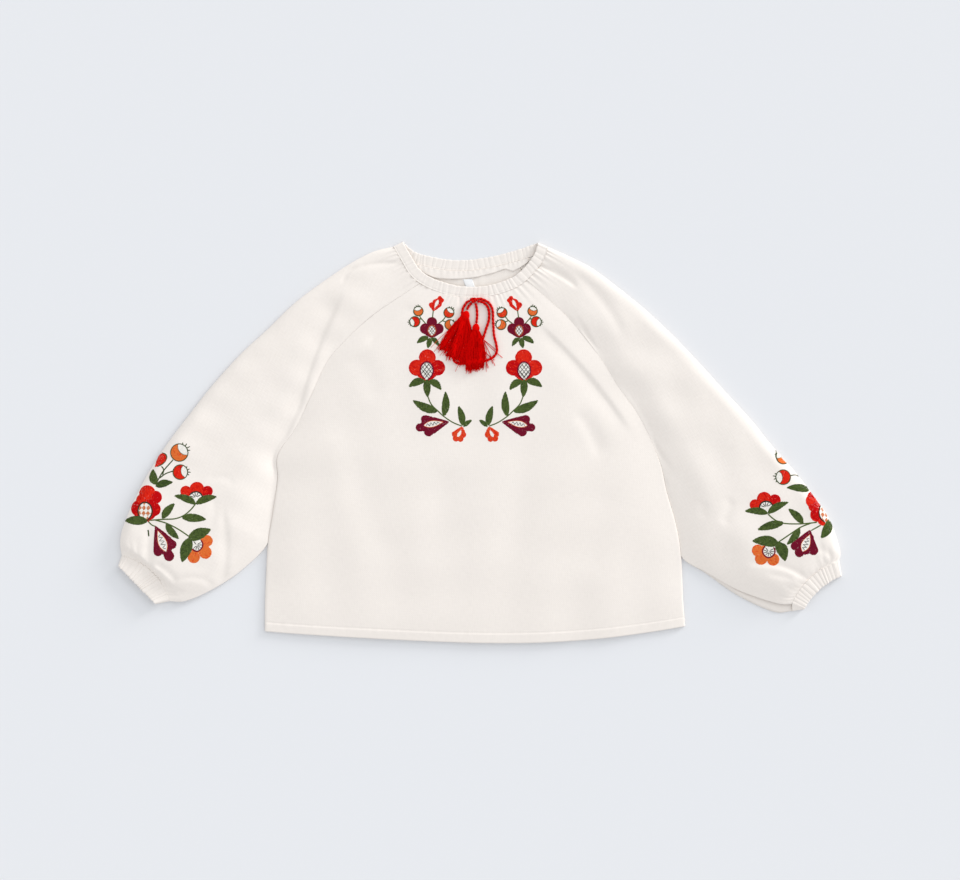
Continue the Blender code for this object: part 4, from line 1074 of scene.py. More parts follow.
def makeTassel(name, data, rest):
    # a tufted head and a skirt of single threads that fan out from under it; each thread is
    # a three-sided tube along a bent line that lies in its own layer, threads gather into
    # clumps of one tone towards their ends, and a few lie loose
    source = np.random.default_rng(data["seed"])
    head, neckAt = np.array(data["head"]), np.array(data["neck"])
    endL, endR = np.array(data["endLeft"]), np.array(data["endRight"])
    count, sections = tassels["threads"], tassels["sections"]
    down = (neckAt - head) / np.linalg.norm(neckAt - head)
    cross = np.array([-down[1], down[0]])
    if cross @ (endR - endL) < 0:
        cross = -cross
    u = np.sort(source.uniform(0, 1, count))
    layer = source.uniform(0, 1, count)
    stray = source.uniform(0, 1, count) > 0.955
    long = 0.962 + source.normal(0, 0.034, count) + np.where(stray, 0.05, 0.0)
    clump = np.minimum((u * tassels["clumps"]).astype(int), tassels["clumps"] - 1)
    far = u + 0.5 * ((clump + 0.5) / tassels["clumps"] - u)
    long = long + source.normal(0, 0.042, tassels["clumps"])[clump]
    tone = source.uniform(0.45, 1.0, tassels["clumps"])[clump] * 0.7 \
        + source.uniform(0.45, 1.0, count) * 0.3
    aim = endL[None] * (1 - far[:, None]) + endR[None] * far[:, None]
    bowed = 2.2 * np.sin(math.pi * u)
    middle = (endL + endR) / 2 - neckAt
    aim = aim + (middle / np.linalg.norm(middle))[None] * bowed[:, None]
    aim += np.where(stray, source.normal(0, 6.0, count), source.normal(0, 0.8, count))[:, None] \
        * cross[None]
    root = neckAt[None] + cross[None] * ((u - 0.5) * data["wide"])[:, None]
    f = np.linspace(0, 1, sections)[None]
    reach = (aim - root) * long[:, None]
    plan = root[:, None] + reach[:, None] * f[..., None]
    swell = data["bulge"][1] * u[:, None] - data["bulge"][0] * (1 - u[:, None])
    plan = plan + cross[None, None] * (swell * np.sin(math.pi * f) ** 1.2)[..., None]
    sway = source.normal(0, 1.0, count)[:, None] * np.sin(math.pi * f) \
        + 0.35 * source.normal(0, 1, count)[:, None] * np.sin(2 * math.pi * f)
    sway = sway + 0.25 * source.normal(0, 1, count)[:, None] * np.sin(5 * math.pi * f) * f
    plan = plan + cross[None, None] * sway[..., None]
    size = tassels["thread"]
    ground = readMap(rest, plan[..., 0], plan[..., 1])
    base = float(readMap(rest, head[:1], head[1:])[0])
    centre = base + tassels["headFlat"] + data["lift"]
    depth = data["layers"] * (1 - 0.45 * f) * (0.35 + 0.65 * np.sqrt(
        np.maximum(1 - (2 * u - 1) ** 2, 0)))[:, None]
    low = ground + 0.35 + size / 2 + data["lift"] * (1 - f) + layer[:, None] * depth
    bundle = centre + (layer[:, None] - 0.5) * 2.6 * np.sqrt(
        np.maximum(1 - (2 * u[:, None] - 1) ** 2, 0.1))
    mix = smooth(f / 0.35)
    z = bundle * (1 - mix) + np.maximum(low, ground + 0.3) * mix
    z = np.maximum(z, ground + 0.3)
    lines = np.dstack([plan, z])
    if data["strays"]:
        rows = np.array(data["strays"])
        loose = rows[:, None, 0:2] + (rows[:, None, 2:4] - rows[:, None, 0:2]) * f[..., None]
        loose = loose + (rows[:, 4:5] * np.sin(math.pi * f))[..., None] * cross[None, None]
        looseZ = readMap(rest, loose[..., 0], loose[..., 1]) + 0.35
        lines = np.concatenate([lines, np.dstack([loose, looseZ])])
        tone = np.concatenate([tone, np.full(len(rows), 0.7)])
        count = len(lines)
    tangent = np.gradient(lines, axis=1)
    tangent /= np.linalg.norm(tangent, axis=2)[..., None]
    side = np.cross(tangent, np.array([0.0, 0.0, 1.0]))
    side /= np.maximum(np.linalg.norm(side, axis=2), 1e-6)[..., None]
    top = np.cross(side, tangent)
    phi = np.array([90.0, 210.0, 330.0]) * math.pi / 180
    heft = np.where(np.arange(count) < tassels["threads"], 0.62, 0.85)
    r = size * heft[:, None, None] * np.ones((1, sections, 3))
    ring = (lines[:, :, None] + side[:, :, None] * (r * np.cos(phi))[..., None]
            + top[:, :, None] * (r * np.sin(phi))[..., None])
    verts = [ring.reshape(-1, 3)]
    faces = [threeSided(count, sections)]
    uvs = [np.stack([np.repeat(np.tile(f[0] * tassels["skirt"], count), 3),
                     np.repeat(tone, sections * 3)], 1)]
    total = count * sections * 3
    # head: a pear with thread ridges that run from its crown to the neck
    rings, around = tassels["headRings"], tassels["headAround"]
    a = np.linspace(0.02, math.pi * 0.84, rings)[:, None]
    b = np.arange(around)[None] / around * 2 * math.pi
    ridge = np.abs(np.sin(b * 9 + 0.7 * np.sin(a * 3) + 0.5 * np.sin(b * 4)))
    wide = data["radius"] * (0.60 + 0.23 * a) * np.sin(a) * (0.88 + 0.15 * ridge)
    length = data["radius"] * 1.12 * np.cos(a)
    flat = tassels["headFlat"] / data["radius"]
    px = head[0] - down[0] * length + cross[0] * wide * np.cos(b)
    py = head[1] - down[1] * length + cross[1] * wide * np.cos(b)
    pz = centre + wide * np.sin(b) * flat + 0 * length
    verts.append(np.dstack([px, py, pz]).reshape(-1, 3))
    i, j = np.arange(rings - 1)[:, None], np.arange(around)[None]
    j2 = (j + 1) % around
    quad = np.stack([i * around + j, (i + 1) * around + j, (i + 1) * around + j2,
                     i * around + j2], -1).reshape(-1, 4) + total
    outward = np.cross(down, cross)
    faces.append(split(quad if outward < 0 else quad[:, ::-1]))
    # the head's UV darkens it between its ridges and overall: painted shade in the grooves, which
    # also tones down the light on the smooth head
    uvs.append(np.stack([np.repeat(np.arange(rings) * 0.3, around),
                         (0.05 + 0.75 * ridge).ravel()], 1))
    obj = meshObject(name, np.concatenate(verts) * mm, np.concatenate(faces), [tasselRed],
                     np.concatenate(uvs))
    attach(obj, "root")
    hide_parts(data["node"])
    return obj


cordTree = treeOf(frontObj, casingObj, *cordObjs.values())
tasselMap = heightMap(cordTree, (-52.0, 30.0, 62.0, 140.0), 0.6)
tasselRest = widened(tasselMap, 0.7)
for key in ("left", "right"):
    makeTassel(key + "Tassel", tassels[key], tasselRest)


# embroidery: ordinary flowers, leaves and berries laid out as on the blouse, sewn as single
# stitches; a motif row gives kind, thread, places in millimetres and sizes
threads = dict(
    red=(0.72, 0.026, 0.012), scarlet=(0.54, 0.006, 0.008), orangeRed=(0.72, 0.075, 0.022),
    burgundy=(0.185, 0.010, 0.028), orange=(0.76, 0.175, 0.040),
    green=(0.085, 0.125, 0.034), darkGreen=(0.050, 0.076, 0.024), white=(0.88, 0.85, 0.79),
    dark=(0.035, 0.030, 0.022), rust=(0.42, 0.070, 0.030), peach=(0.60, 0.20, 0.085))
sewing = dict(spacing=0.50, length=3.4, width=0.80, rise=0.17, over=0.15, parts=5, step=0.11,
              overlap=0.24, samples=25)
mottled = dict(green=("darkGreen", 0.30), darkGreen=("green", 0.2), red=("scarlet", 0.16),
               scarlet=("red", 0.14), orangeRed=("red", 0.3), orange=("orangeRed", 0.08))
motifs = dict(
    chest=[
        ("stem", "green", 0.8, [(-47.5, 124), (-46.5, 132)]),
        ("stem", "green", 0.8, [(-54.5, 119), (-58.5, 123.5), (-60.5, 126.5)]),
        ("stem", "green", 0.8, [(-58.5, 123), (-60.5, 123.5)]),
        ("stem", "green", 0.8, [(-41, 119), (-37, 122), (-34, 126)]),
        ("stem", "green", 0.8, [(-37.5, 121.5), (-34.5, 120.5)]),
        ("stem", "green", 0.9, [(-52, 46), (-48.5, 38), (-42, 31.5), (-36, 26), (-27, 20),
         (-18.5, 16.5)]),
        ("berry", "orange", [(-61.5, 131), (-62.5, 135.5)], 4.7),
        ("berry", "red", [(-65, 120.5), (-71, 119)], 5.1),
        ("berry", "orangeRed", [(-31, 129.5), (-28, 134)], 5),
        ("berry", "orange", [(-30, 117.5), (-25.5, 119.5)], 5),
        ("bud", "red", [(-46.5, 131.5)], [(-40, 144, 2.2), (-38, 142, 2), (-48.5, 137.5, 2.4),
         (-43, 138.5, 4.9)], [(-45.5, 134), (-41.5, 142.5)], 3),
        ("flower", "burgundy", [(-48, 120, 5), (-54.5, 113.5, 5.2), (-41.5, 113.5, 5.2)],
         (-48, 111.5, 4, 5.4), "orange"),
        ("leaf", "green", [(-51.5, 105), (-63, 99)], 5.6, -1),
        ("leaf", "green", [(-48.5, 104.5), (-41, 96)], 4.6, 1),
        ("leaf", "green", [(-50, 104.5), (-52, 94)], 5.4, 0.3),
        ("flower", "red", [(-52.5, 84.5, 8.3), (-63, 74.5, 7.9), (-42.5, 74.5, 7.7)],
         (-53, 71.5, 6.4, 8.9), "burgundy"),
        ("leaf", "green", [(-55, 62), (-71, 55.5)], 7.4, -1.6),
        ("leaf", "green", [(-51, 62), (-38.5, 52.5)], 7, 1.6),
        ("leaf", "green", [(-53, 63), (-52, 45)], 7.2, -0.3),
        ("leaf", "green", [(-42.5, 31), (-67, 42)], 8.6, 1.5),
        ("leaf", "green", [(-36, 26.5), (-34.5, 51)], 7.6, -1.2),
        ("leaf", "green", [(-17, 17), (-21.5, 36.5)], 6.8, -0.8),
        ("leaf", "green", [(-16.5, 16), (-8, 22.5)], 4.4, 0.5),
        ("tulip", "burgundy", [(-31.5, 20.5)], [(-54.5, 23, 4.3), (-60, 15, 4), (-51, 11, 4.8),
         (-51, 17, 8)], [(-36.5, 20.5), (-56, 17)], 6.2),
        ("bud", "orangeRed", [(-18, 15.5)], [(-25, 8.5, 3), (-24, 4, 3), (-19.5, 3.5, 2.8),
         (-17.5, 8, 3.6), (-21, 8, 5.2)], [(-18.5, 12.5), (-22.5, 5.5)], 3.2),
    ],
    leftSleeve=[
        ("stem", "darkGreen", 0.9, [(-321, -38), (-315.5, -28.5), (-306, -17.5)]),
        ("stem", "darkGreen", 0.9, [(-318.5, -35), (-313, -31), (-306, -28.5)]),
        ("stem", "darkGreen", 0.9, [(-317, -24), (-315, -27), (-316, -32)]),
        ("stem", "darkGreen", 0.9, [(-321, -24), (-315.5, -21), (-312, -15.5), (-313, -12),
         (-317, -10.5)]),
        ("stem", "green", 1, [(-330, -77.5), (-315.5, -76.5), (-304, -76), (-295.5, -73),
         (-288.5, -67.5), (-283.5, -61.5)]),
        ("stem", "green", 1, [(-324, -77), (-312, -80.5), (-300, -86.5), (-289, -94)]),
        ("stem", "green", 0.9, [(-330, -79), (-327, -82), (-323.5, -83.5)]),
        ("stem", "darkGreen", 1.1, [(-330.5, -87.5), (-330, -93)]),
        ("berry", "orange", [(-299.5, -10), (-292.5, -4)], 8.6),
        ("berry", "red", [(-298.5, -29.5), (-290, -28)], 7.2),
        ("bud", "red", [(-323.5, -24)], [(-317, -16, 5)], [], 0),
        ("leaf", "green", [(-322.5, -42), (-326, -26.5)], 8.6, 1.4),
        ("leaf", "darkGreen", [(-323, -43.5), (-306, -39.5)], 7.2, 1),
        ("flower", "red", [(-331.4, -51, 8.4), (-323.2, -54.5, 6.4), (-325, -66.5, 7),
         (-340.4, -65.5, 7.6), (-336.5, -57.5, 6.2), (-328, -60.5, 6.4)],
         (-333.4, -68.6, 7, 9.2), "diamond"),
        ("leaf", "green", [(-331, -78), (-355, -78)], 9, -0.6),
        ("leaf", "green", [(-316.5, -75.5), (-304, -60.5)], 7.6, 0.8),
        ("leaf", "green", [(-296.5, -74.5), (-272.5, -76.5)], 8.2, 0.4),
        ("leaf", "green", [(-312.5, -81), (-299.5, -96)], 7, -1),
        ("half", "red", [(-282, -46.5, 7.2), (-293, -48.5, 5.3), (-271.5, -48.5, 5.2)],
         (-283, -55, 6.6, 6), "rays"),
        ("leaf", "green", [(-283, -61), (-304.5, -53)], 7.2, -1.6),
        ("leaf", "green", [(-283, -61), (-262, -54)], 7.2, 1.6),
        ("half", "orange", [(-272, -98, 5.8), (-273.5, -109.5, 6.2), (-285, -114, 6)],
         (-282, -102, 6, 6.4), "rays"),
        ("leaf", "green", [(-290, -96), (-268, -86.5)], 11.4, 0.6),
        ("leaf", "green", [(-288.5, -95), (-296.5, -119)], 11.4, -0.4),
        ("tulip", "burgundy", [(-323, -83.5)], [(-320.5, -108.5, 4.6), (-309.5, -113, 5),
         (-306.5, -101.5, 4.4), (-314.5, -102.5, 9)], [(-321, -87.5), (-312.5, -108.5)], 8.4),
    ],
    rightSleeve=[
        ("stem", "darkGreen", 0.9, [(295.5, -8.5), (294.5, -14), (296.5, -17.5)]),
        ("stem", "darkGreen", 0.9, [(309.5, -33), (314.5, -32.5), (319, -34.5)]),
        ("stem", "green", 1, [(287, -71.5), (293.5, -77), (302.5, -80.5), (320, -81),
         (335, -79.5)]),
        ("stem", "green", 1, [(329, -80.5), (319, -84.5), (306, -93), (296.5, -99.5)]),
        ("stem", "green", 0.9, [(330, -87.5), (339, -82.5)]),
        ("berry", "orange", [(302.5, -14), (296.5, -8)], 7.4),
        ("berry", "red", [(302, -34.5), (294, -35)], 7.2),
        ("leaf", "green", [(329, -47.5), (305.5, -45)], 7.6, -1.2),
        ("flower", "scarlet", [(331, -58, 6.6), (330.5, -54, 4.4), (334.5, -66.5, 5),
         (335.6, -72, 6.8), (342, -77, 5.8), (333.5, -63, 6.6)], (344, -70, 6.6, 9.4),
         "diamond"),
        ("leaf", "green", [(349.5, -76.5), (339.5, -95.5)], 9.4, 1.4),
        ("leaf", "green", [(322, -80.5), (307, -66)], 7.4, -0.8),
        ("leaf", "green", [(302, -80), (276, -87)], 8.2, -0.8),
        ("leaf", "green", [(318.5, -85.5), (305.5, -101.5)], 7, 1),
        ("half", "red", [(283, -56.5, 7.2), (274, -62, 5.3), (293.5, -57.5, 5.8)],
         (285, -64.5, 6.6, 6), "rays"),
        ("leaf", "green", [(286.5, -70.5), (263.5, -68.5)], 7.2, -1.6),
        ("leaf", "green", [(286.5, -70.5), (307, -59.5)], 7.2, 1.6),
        ("half", "orange", [(276.5, -107.5, 5.8), (280, -115.5, 6.2), (292, -116.5, 6)],
         (287.5, -108.5, 6.2, 6.2), "rays"),
        ("leaf", "green", [(297.5, -101), (271, -98)], 10.8, -1.6),
        ("leaf", "green", [(295, -99), (304, -118)], 11.4, 2),
        ("tulip", "burgundy", [(328.5, -87.5)], [(313.5, -103, 4.2), (318, -109.5, 4.6),
         (332, -107.5, 4.6), (323.5, -103, 8.6)], [(328.5, -91.5), (321, -108.5)], 8.4),
    ],
)


class Stitches:
    # collects stitches as start and end points with a thread, width and lift each
    def __init__(self):
        self.rows = []

    def add(self, start, end, thread, width=None, lift=0.0):
        start, end = np.atleast_2d(start), np.atleast_2d(end)
        names = list(threads)
        size = width or sewing["width"]
        n = len(start)
        index = np.full(n, names.index(thread))
        if width is None and thread in mottled:
            other, part = mottled[thread]
            index[rng.uniform(0, 1, n) < part] = names.index(other)
        self.rows.append(np.column_stack([start, end, index, np.full(n, size),
                                          np.broadcast_to(lift, n)]))


def circleTest(cx, cy, r):
    # distance from the middle as a share of the radius
    return lambda x, y: np.hypot(x - cx, y - cy) / r


def ovalTest(cx, cy, a, b):
    # egg: the lower half is drawn in towards a point
    def test(x, y):
        v = (y - cy) / b
        narrow = np.where(v < 0, 1 - 0.30 * np.clip(-v, 0, 1) ** 2, 1.0)
        return np.hypot((x - cx) / (a * narrow), v)
    return test


def leafTest(base, tip, width, bow, power=0.8):
    # signed share of a leaf's half width; the half width swells and closes along a bowed
    # line from base to tip
    dx, dy = tip[0] - base[0], tip[1] - base[1]
    length = math.hypot(dx, dy)
    ux, uy = dx / length, dy / length

    def test(x, y):
        s = ((x - base[0]) * ux + (y - base[1]) * uy) / length
        t = np.clip(s, 0, 1)
        side = (y - base[1]) * ux - (x - base[0]) * uy - bow * 4 * t * (1 - t)
        half = width / 2 * np.maximum(np.sin(math.pi * t ** power), 0.0) ** 0.75 + 1e-3
        return np.where((s < 0) | (s > 1), 9.0, side / half)
    return test


def petalTest(base, lobe):
    # share of a petal's half width: a cone that grows from the base into a round lobe
    dx, dy = lobe[0] - base[0], lobe[1] - base[1]
    length = math.hypot(dx, dy)
    ux, uy = dx / length, dy / length

    def test(x, y):
        s = np.clip(((x - base[0]) * ux + (y - base[1]) * uy) / length, 0, 1)
        d = np.hypot(x - base[0] - s * dx, y - base[1] - s * dy)
        return d / (0.5 + (lobe[2] - 0.5) * s ** 0.8)
    return test


def hatch(bag, inside, box, angle, thread, seed, spacing=None, length=None, width=None,
          lift=0.0):
    # fills a region with rows of stitches at one angle: a turned grid of fine samples is
    # cut where the region ends and at brick-like steps of the stitch length
    spacing, length = spacing or sewing["spacing"], length or sewing["length"]
    source = np.random.default_rng(seed)
    c, s = math.cos(angle), math.sin(angle)
    cx, cy = (box[0] + box[1]) / 2, (box[2] + box[3]) / 2
    reach = math.hypot(box[1] - box[0], box[3] - box[2]) / 2 + 1
    across = np.arange(-reach, reach, spacing)
    along = np.arange(-reach, reach, sewing["step"])
    across = across + source.normal(0, spacing * 0.07, len(across))
    x = cx + along[None] * c - across[:, None] * s
    y = cy + along[None] * s + across[:, None] * c
    shift = (np.arange(len(across)) % 3) * length / 3 + source.uniform(-0.3, 0.3, len(across))
    cell = np.floor((along[None] + shift[:, None]) / length)
    mark = np.pad(np.where(inside(x, y), cell, -999.0), ((0, 0), (1, 1)),
                  constant_values=-999.0)
    change = mark[:, 1:] != mark[:, :-1]
    row, first = np.nonzero(change & (mark[:, 1:] > -900))
    last = np.nonzero(change & (mark[:, :-1] > -900))[1] - 1
    keep = last - first > 3
    row, first, last = row[keep], first[keep], last[keep]
    a0 = along[first] - sewing["overlap"] + source.normal(0, 0.08, len(row))
    a1 = along[last] + sewing["overlap"] + source.normal(0, 0.08, len(row))
    b = across[row]
    bag.add(np.column_stack([cx + a0 * c - b * s, cy + a0 * s + b * c]),
            np.column_stack([cx + a1 * c - b * s, cy + a1 * s + b * c]), thread, width,
            lift + source.uniform(0, 0.05, len(row)))


def sewLine(bag, path, thread, width, lift=0.10):
    # stem stitch: short slanted stitches that overlap along a path
    path = spline(path, 10) if len(path) > 2 else np.asarray(path, dtype=float)
    length = np.linalg.norm(np.diff(path, axis=0), axis=1).sum()
    spots = resample(path, max(3, int(length / 1.25) + 2))
    way = np.gradient(spots, axis=0)
    way /= np.maximum(np.linalg.norm(way, axis=1), 1e-6)[:, None]
    side = np.stack([-way[:, 1], way[:, 0]], 1)
    bag.add(spots[:-1] - way[:-1] * 0.5 - side[:-1] * width * 0.14,
            spots[1:] + way[1:] * 0.5 + side[1:] * width * 0.14, thread, width, lift)


def ringPath(test, cx, cy, share=1.0, reach=16.0):
    # outline of a region seen from its middle: where the test reaches the share
    angle = np.linspace(0, 2 * math.pi, 49)
    r = np.linspace(0.2, reach, 220)
    value = test(cx + np.cos(angle)[:, None] * r, cy + np.sin(angle)[:, None] * r)
    edge = r[np.argmax(value > share, axis=1)]
    return np.column_stack([cx + np.cos(angle) * edge, cy + np.sin(angle) * edge])


def boxOf(points, margin):
    # bounds of points, with a margin: left, right, low, high
    points = np.asarray(points, dtype=float)
    return (points[:, 0].min() - margin, points[:, 0].max() + margin,
            points[:, 1].min() - margin, points[:, 1].max() + margin)


def coverOf(row):
    # the region that a motif covers, so that what lies under it leaves it free
    kind = row[0]
    if kind == "leaf":
        test = leafTest(row[2][0], row[2][1], row[3], row[4])
        return lambda x, y: np.abs(test(x, y)) < 1
    if kind == "berry":
        test = circleTest(*row[2][0], row[3])
        return lambda x, y: test(x, y) < 1
    if kind in ("tulip", "bud"):
        tests = [petalTest(row[2][0], lobe) for lobe in row[3]]
        return lambda x, y: np.min([t(x, y) for t in tests], axis=0) < 1
    if kind in ("flower", "half"):
        tests = [circleTest(*lobe) for lobe in row[2]] + [ovalTest(*row[3])]
        return lambda x, y: np.min([t(x, y) for t in tests], axis=0) < 1
    return lambda x, y: np.zeros(np.shape(x), dtype=bool)


def sewLeaf(bag, row, free, seed):
    # two halves of slanted stitches that meet on the leaf's middle line
    base, tip = row[2]
    test = leafTest(base, tip, row[3], row[4])
    angle = math.atan2(tip[1] - base[1], tip[0] - base[0])
    box = boxOf([base, tip], row[3])
    for sign in (1, -1):
        hatch(bag, lambda x, y: (test(x, y) * sign > -0.06) & (test(x, y) * sign < 1)
              & free(x, y), box, angle + sign * 0.72, row[1], seed + sign, length=2.6)


def sewBerry(bag, row, free, seed):
    # a round body with a white cap, an outline, and a few stitches beyond the cap
    (cx, cy), (hx, hy) = row[2]
    r = row[3]
    body = circleTest(cx, cy, r)
    ax, ay = hx - cx, hy - cy
    far = math.hypot(ax, ay)
    ax, ay = ax / far, ay / far
    angle = math.atan2(ay, ax)

    def cap(x, y):
        a = (x - cx) * ax + (y - cy) * ay - 0.62 * r
        b = (y - cy) * ax - (x - cx) * ay
        return np.hypot(a / (0.52 * r), b / (0.80 * r))
    box = boxOf([(cx, cy)], r + 1)
    hatch(bag, lambda x, y: (body(x, y) < 1) & (cap(x, y) > 1) & free(x, y), box,
          angle + 1.2, row[1], seed)
    hatch(bag, lambda x, y: (body(x, y) < 1) & (cap(x, y) <= 1) & free(x, y), box,
          angle, "white", seed + 1)
    inner = ringPath(cap, cx + ax * 0.62 * r, cy + ay * 0.62 * r, 1.0, r)
    keep = body(inner[:, 0], inner[:, 1]) < 0.97
    inner = np.roll(inner[:-1], -int(np.argmin(keep[:-1])), axis=0)
    inner = inner[body(inner[:, 0], inner[:, 1]) < 0.97]
    if len(inner) > 3:
        sewLine(bag, inner[::3], "darkGreen", 0.55)
    sewLine(bag, ringPath(body, cx, cy)[::3], "darkGreen", 1.0, 0.15)
    # calyx: a few loose straight stitches beyond the cap
    turn = angle + np.array([-0.42, -0.16, 0.10, 0.40])
    start = np.stack([cx + np.cos(turn) * r * 0.96, cy + np.sin(turn) * r * 0.96], 1)
    reach = np.array([0.34, 0.48, 0.40, 0.32]) * r
    aim = angle + np.array([-0.75, -0.25, 0.35, 1.0])
    bag.add(start, start + np.stack([np.cos(aim), np.sin(aim)], 1) * reach[:, None],
            "darkGreen", 0.95, 0.1)


def sewCentre(bag, row, free, seed):
    # pale egg-shaped middle with a lattice, small diamonds or rays, and its outline
    test, style = ovalTest(*row[3]), row[4]
    cx, cy, a, b = row[3]
    box = boxOf([(cx, cy)], max(a, b) + 1)
    inside = lambda x, y: (test(x, y) < 0.97) & free(x, y)
    hatch(bag, inside, box, 0.0, "white", seed, length=4.5)
    edge = {"orange": "rust", "burgundy": "burgundy"}.get(style, "dark")
    gap, slim = (2.2, 0.5) if style == "orange" else (2.9, 0.62)
    if style == "diamond":
        cells = lambda x, y: inside(x, y) & (np.sin((x + 0.7 * y) * 0.74)
                                             * np.sin((x - 0.9 * y) * 0.70) > 0.02)
        hatch(bag, cells, box, 0.0, "peach", seed + 1, lift=0.06)
    elif style == "rays":
        turn = np.linspace(0.15, 2 * math.pi + 0.15, 12)[:-1]
        hub = np.array([cx, cy])
        way = np.stack([np.cos(turn), np.sin(turn)], 1)
        start = hub + way * np.array([0.10, 0.2] * 5 + [0.15])[:, None] * a
        end = hub + way * np.array([0.95, 0.82, 0.9] * 3 + [0.94, 0.8])[:, None] * a \
            + np.stack([way[:, 1], -way[:, 0]], 1) * 0.9
        keep = free(end[:, 0], end[:, 1])
        bag.add(start[keep], end[keep], "dark", 0.85, sewing["over"])
    else:
        for turn in (0.9, -0.9):
            hatch(bag, inside, box, turn, "dark", seed + 2, spacing=gap, length=60, width=slim,
                  lift=sewing["over"])
        if style == "burgundy":
            for turn in (0.9, -0.9):
                hatch(bag, lambda x, y: inside(x + 0.6, y), box, turn, "dark", seed + 3,
                      spacing=gap * 2, length=60, width=0.5, lift=sewing["over"])
    path = ringPath(test, cx, cy, 1.0)
    keep = free(path[:, 0], path[:, 1])
    if keep.all():
        sewLine(bag, path[::3], edge, 1.5 if style != "orange" else 1.0, 0.2)
    else:
        start = int(np.argmin(keep))
        path = np.roll(path[:-1], -start, axis=0)
        keep = free(path[:, 0], path[:, 1])
        sewLine(bag, path[keep][::3], "burgundy" if row[1] == "orange" else edge, 1.4, 0.2)


def sewFlower(bag, row, free, seed):
    # each lobe takes the part of the flower nearest to it and is sewn out from the middle
    lobes, centre = row[2], row[3]
    oval = ovalTest(*centre)
    tests = [circleTest(*lobe) for lobe in lobes]
    whole = row[0] == "flower"
    body = ovalTest(centre[0], centre[1], centre[2] + (5.0 if whole else 2.6),
                    centre[3] + (1.4 if whole else 1.6))
    box = boxOf([(x, y) for x, y, r in lobes], max(r for x, y, r in lobes) + 4)
    way = np.mean([lobe[:2] for lobe in lobes], axis=0) - np.array(centre[:2])
    way = way / max(np.linalg.norm(way), 1e-6)
    least = -99.0 if whole else -0.35 * centre[3]
    tones = ("red", "red", "scarlet", "red") if row[1] == "red" else (row[1],) * 4
    tones = ("red",) + ("scarlet",) * 3 if row[4] == "diamond" else tones
    rims = dict(red="scarlet", scarlet="red", burgundy="burgundy")

    for k, lobe in enumerate(lobes):
        def inside(x, y, k=k):
            values = np.array([t(x, y) for t in tests])
            beyond = (x - centre[0]) * way[0] + (y - centre[1]) * way[1]
            sewn = (values.min(axis=0) < 1) | ((body(x, y) < 1) & (beyond > least))
            return sewn & (oval(x, y) > 1.02) & (values.argmin(axis=0) == k) & free(x, y)
        turn = math.atan2(lobe[1] - centre[1], lobe[0] - centre[0])
        hatch(bag, inside, box, turn + 0.25, tones[k % 4], seed + 7 * k)
        rim = ringPath(tests[k], lobe[0], lobe[1], 0.93)
        keep = inside(rim[:, 0], rim[:, 1])
        ends = np.stack([rim[:-1], rim[1:]], 1)[keep[:-1] & keep[1:]]
        if len(ends) and row[1] != "orange":
            bag.add(ends[:, 0], ends[:, 1], rims[row[1]], 0.95, 0.10)
    sewCentre(bag, row, free, seed + 40)


def sewTulip(bag, row, free, seed):
    # petals grow from a common base; a pale slit with a rust outline lies in the middle
    base, lobes, slit, wide = row[2][0], row[3], row[4], row[5]
    tests = [petalTest(base, lobe) for lobe in lobes]
    if slit:
        opening = leafTest(slit[0], slit[1], wide, 0.0, 1.35)
    else:
        opening = lambda x, y: 9.0 + 0 * x
    box = boxOf([base] + [lobe[:2] for lobe in lobes], 6)
    for k, lobe in enumerate(lobes):
        def inside(x, y, k=k):
            values = np.array([t(x, y) for t in tests])
            return (values.min(axis=0) < 1) & (values.argmin(axis=0) == k) \
                & (np.abs(opening(x, y)) > 1) & free(x, y)
        turn = math.atan2(lobe[1] - base[1], lobe[0] - base[0])
        hatch(bag, inside, box, turn + 0.2, row[1], seed + 5 * k)
    if not slit:
        return
    angle = math.atan2(slit[1][1] - slit[0][1], slit[1][0] - slit[0][0])
    hatch(bag, lambda x, y: np.abs(opening(x, y)) < 1, box, angle + math.pi / 2, "white",
          seed + 30)
    if row[0] == "tulip":
        t = np.linspace(0.03, 0.97, 12)
        half = wide / 2 * np.sin(math.pi * t ** 1.35) ** 0.75
        side = np.array([-math.sin(angle), math.cos(angle)])
        line = np.array(slit[0]) + (np.array(slit[1]) - np.array(slit[0])) * t[:, None]
        for sign in (1, -1):
            sewLine(bag, line + side * (sign * half)[:, None], "orange", 0.6)
        zig = line[2:-1] + side * (half * np.resize([0.6, -0.6], 12))[2:-1, None]
        bag.add(zig[:-1], zig[1:], "dark", 0.60, sewing["over"])


def sewCluster(rows, seed, mirror=None):
    # sews a list of motifs; a later row lies over the earlier ones
    bag = Stitches()
    covers = [coverOf(row) for row in rows]
    for k, row in enumerate(rows):
        above = covers[k + 1:]

        def free(x, y, above=above):
            hidden = np.zeros(np.shape(x), dtype=bool)
            for test in above:
                hidden |= test(x, y)
            return ~hidden
        place = seed + 100 * k
        if row[0] == "stem":
            sewLine(bag, row[3], row[1], row[2] * 1.35, 0.05)
        elif row[0] == "leaf":
            sewLeaf(bag, row, free, place)
        elif row[0] == "berry":
            sewBerry(bag, row, free, place)
        elif row[0] in ("flower", "half"):
            sewFlower(bag, row, free, place)
        else:
            sewTulip(bag, row, free, place)
    rows = np.concatenate(bag.rows)
    if mirror is not None:
        rows[:, 0] = 2 * mirror - rows[:, 0]
        rows[:, 2] = 2 * mirror - rows[:, 2]
    return rows


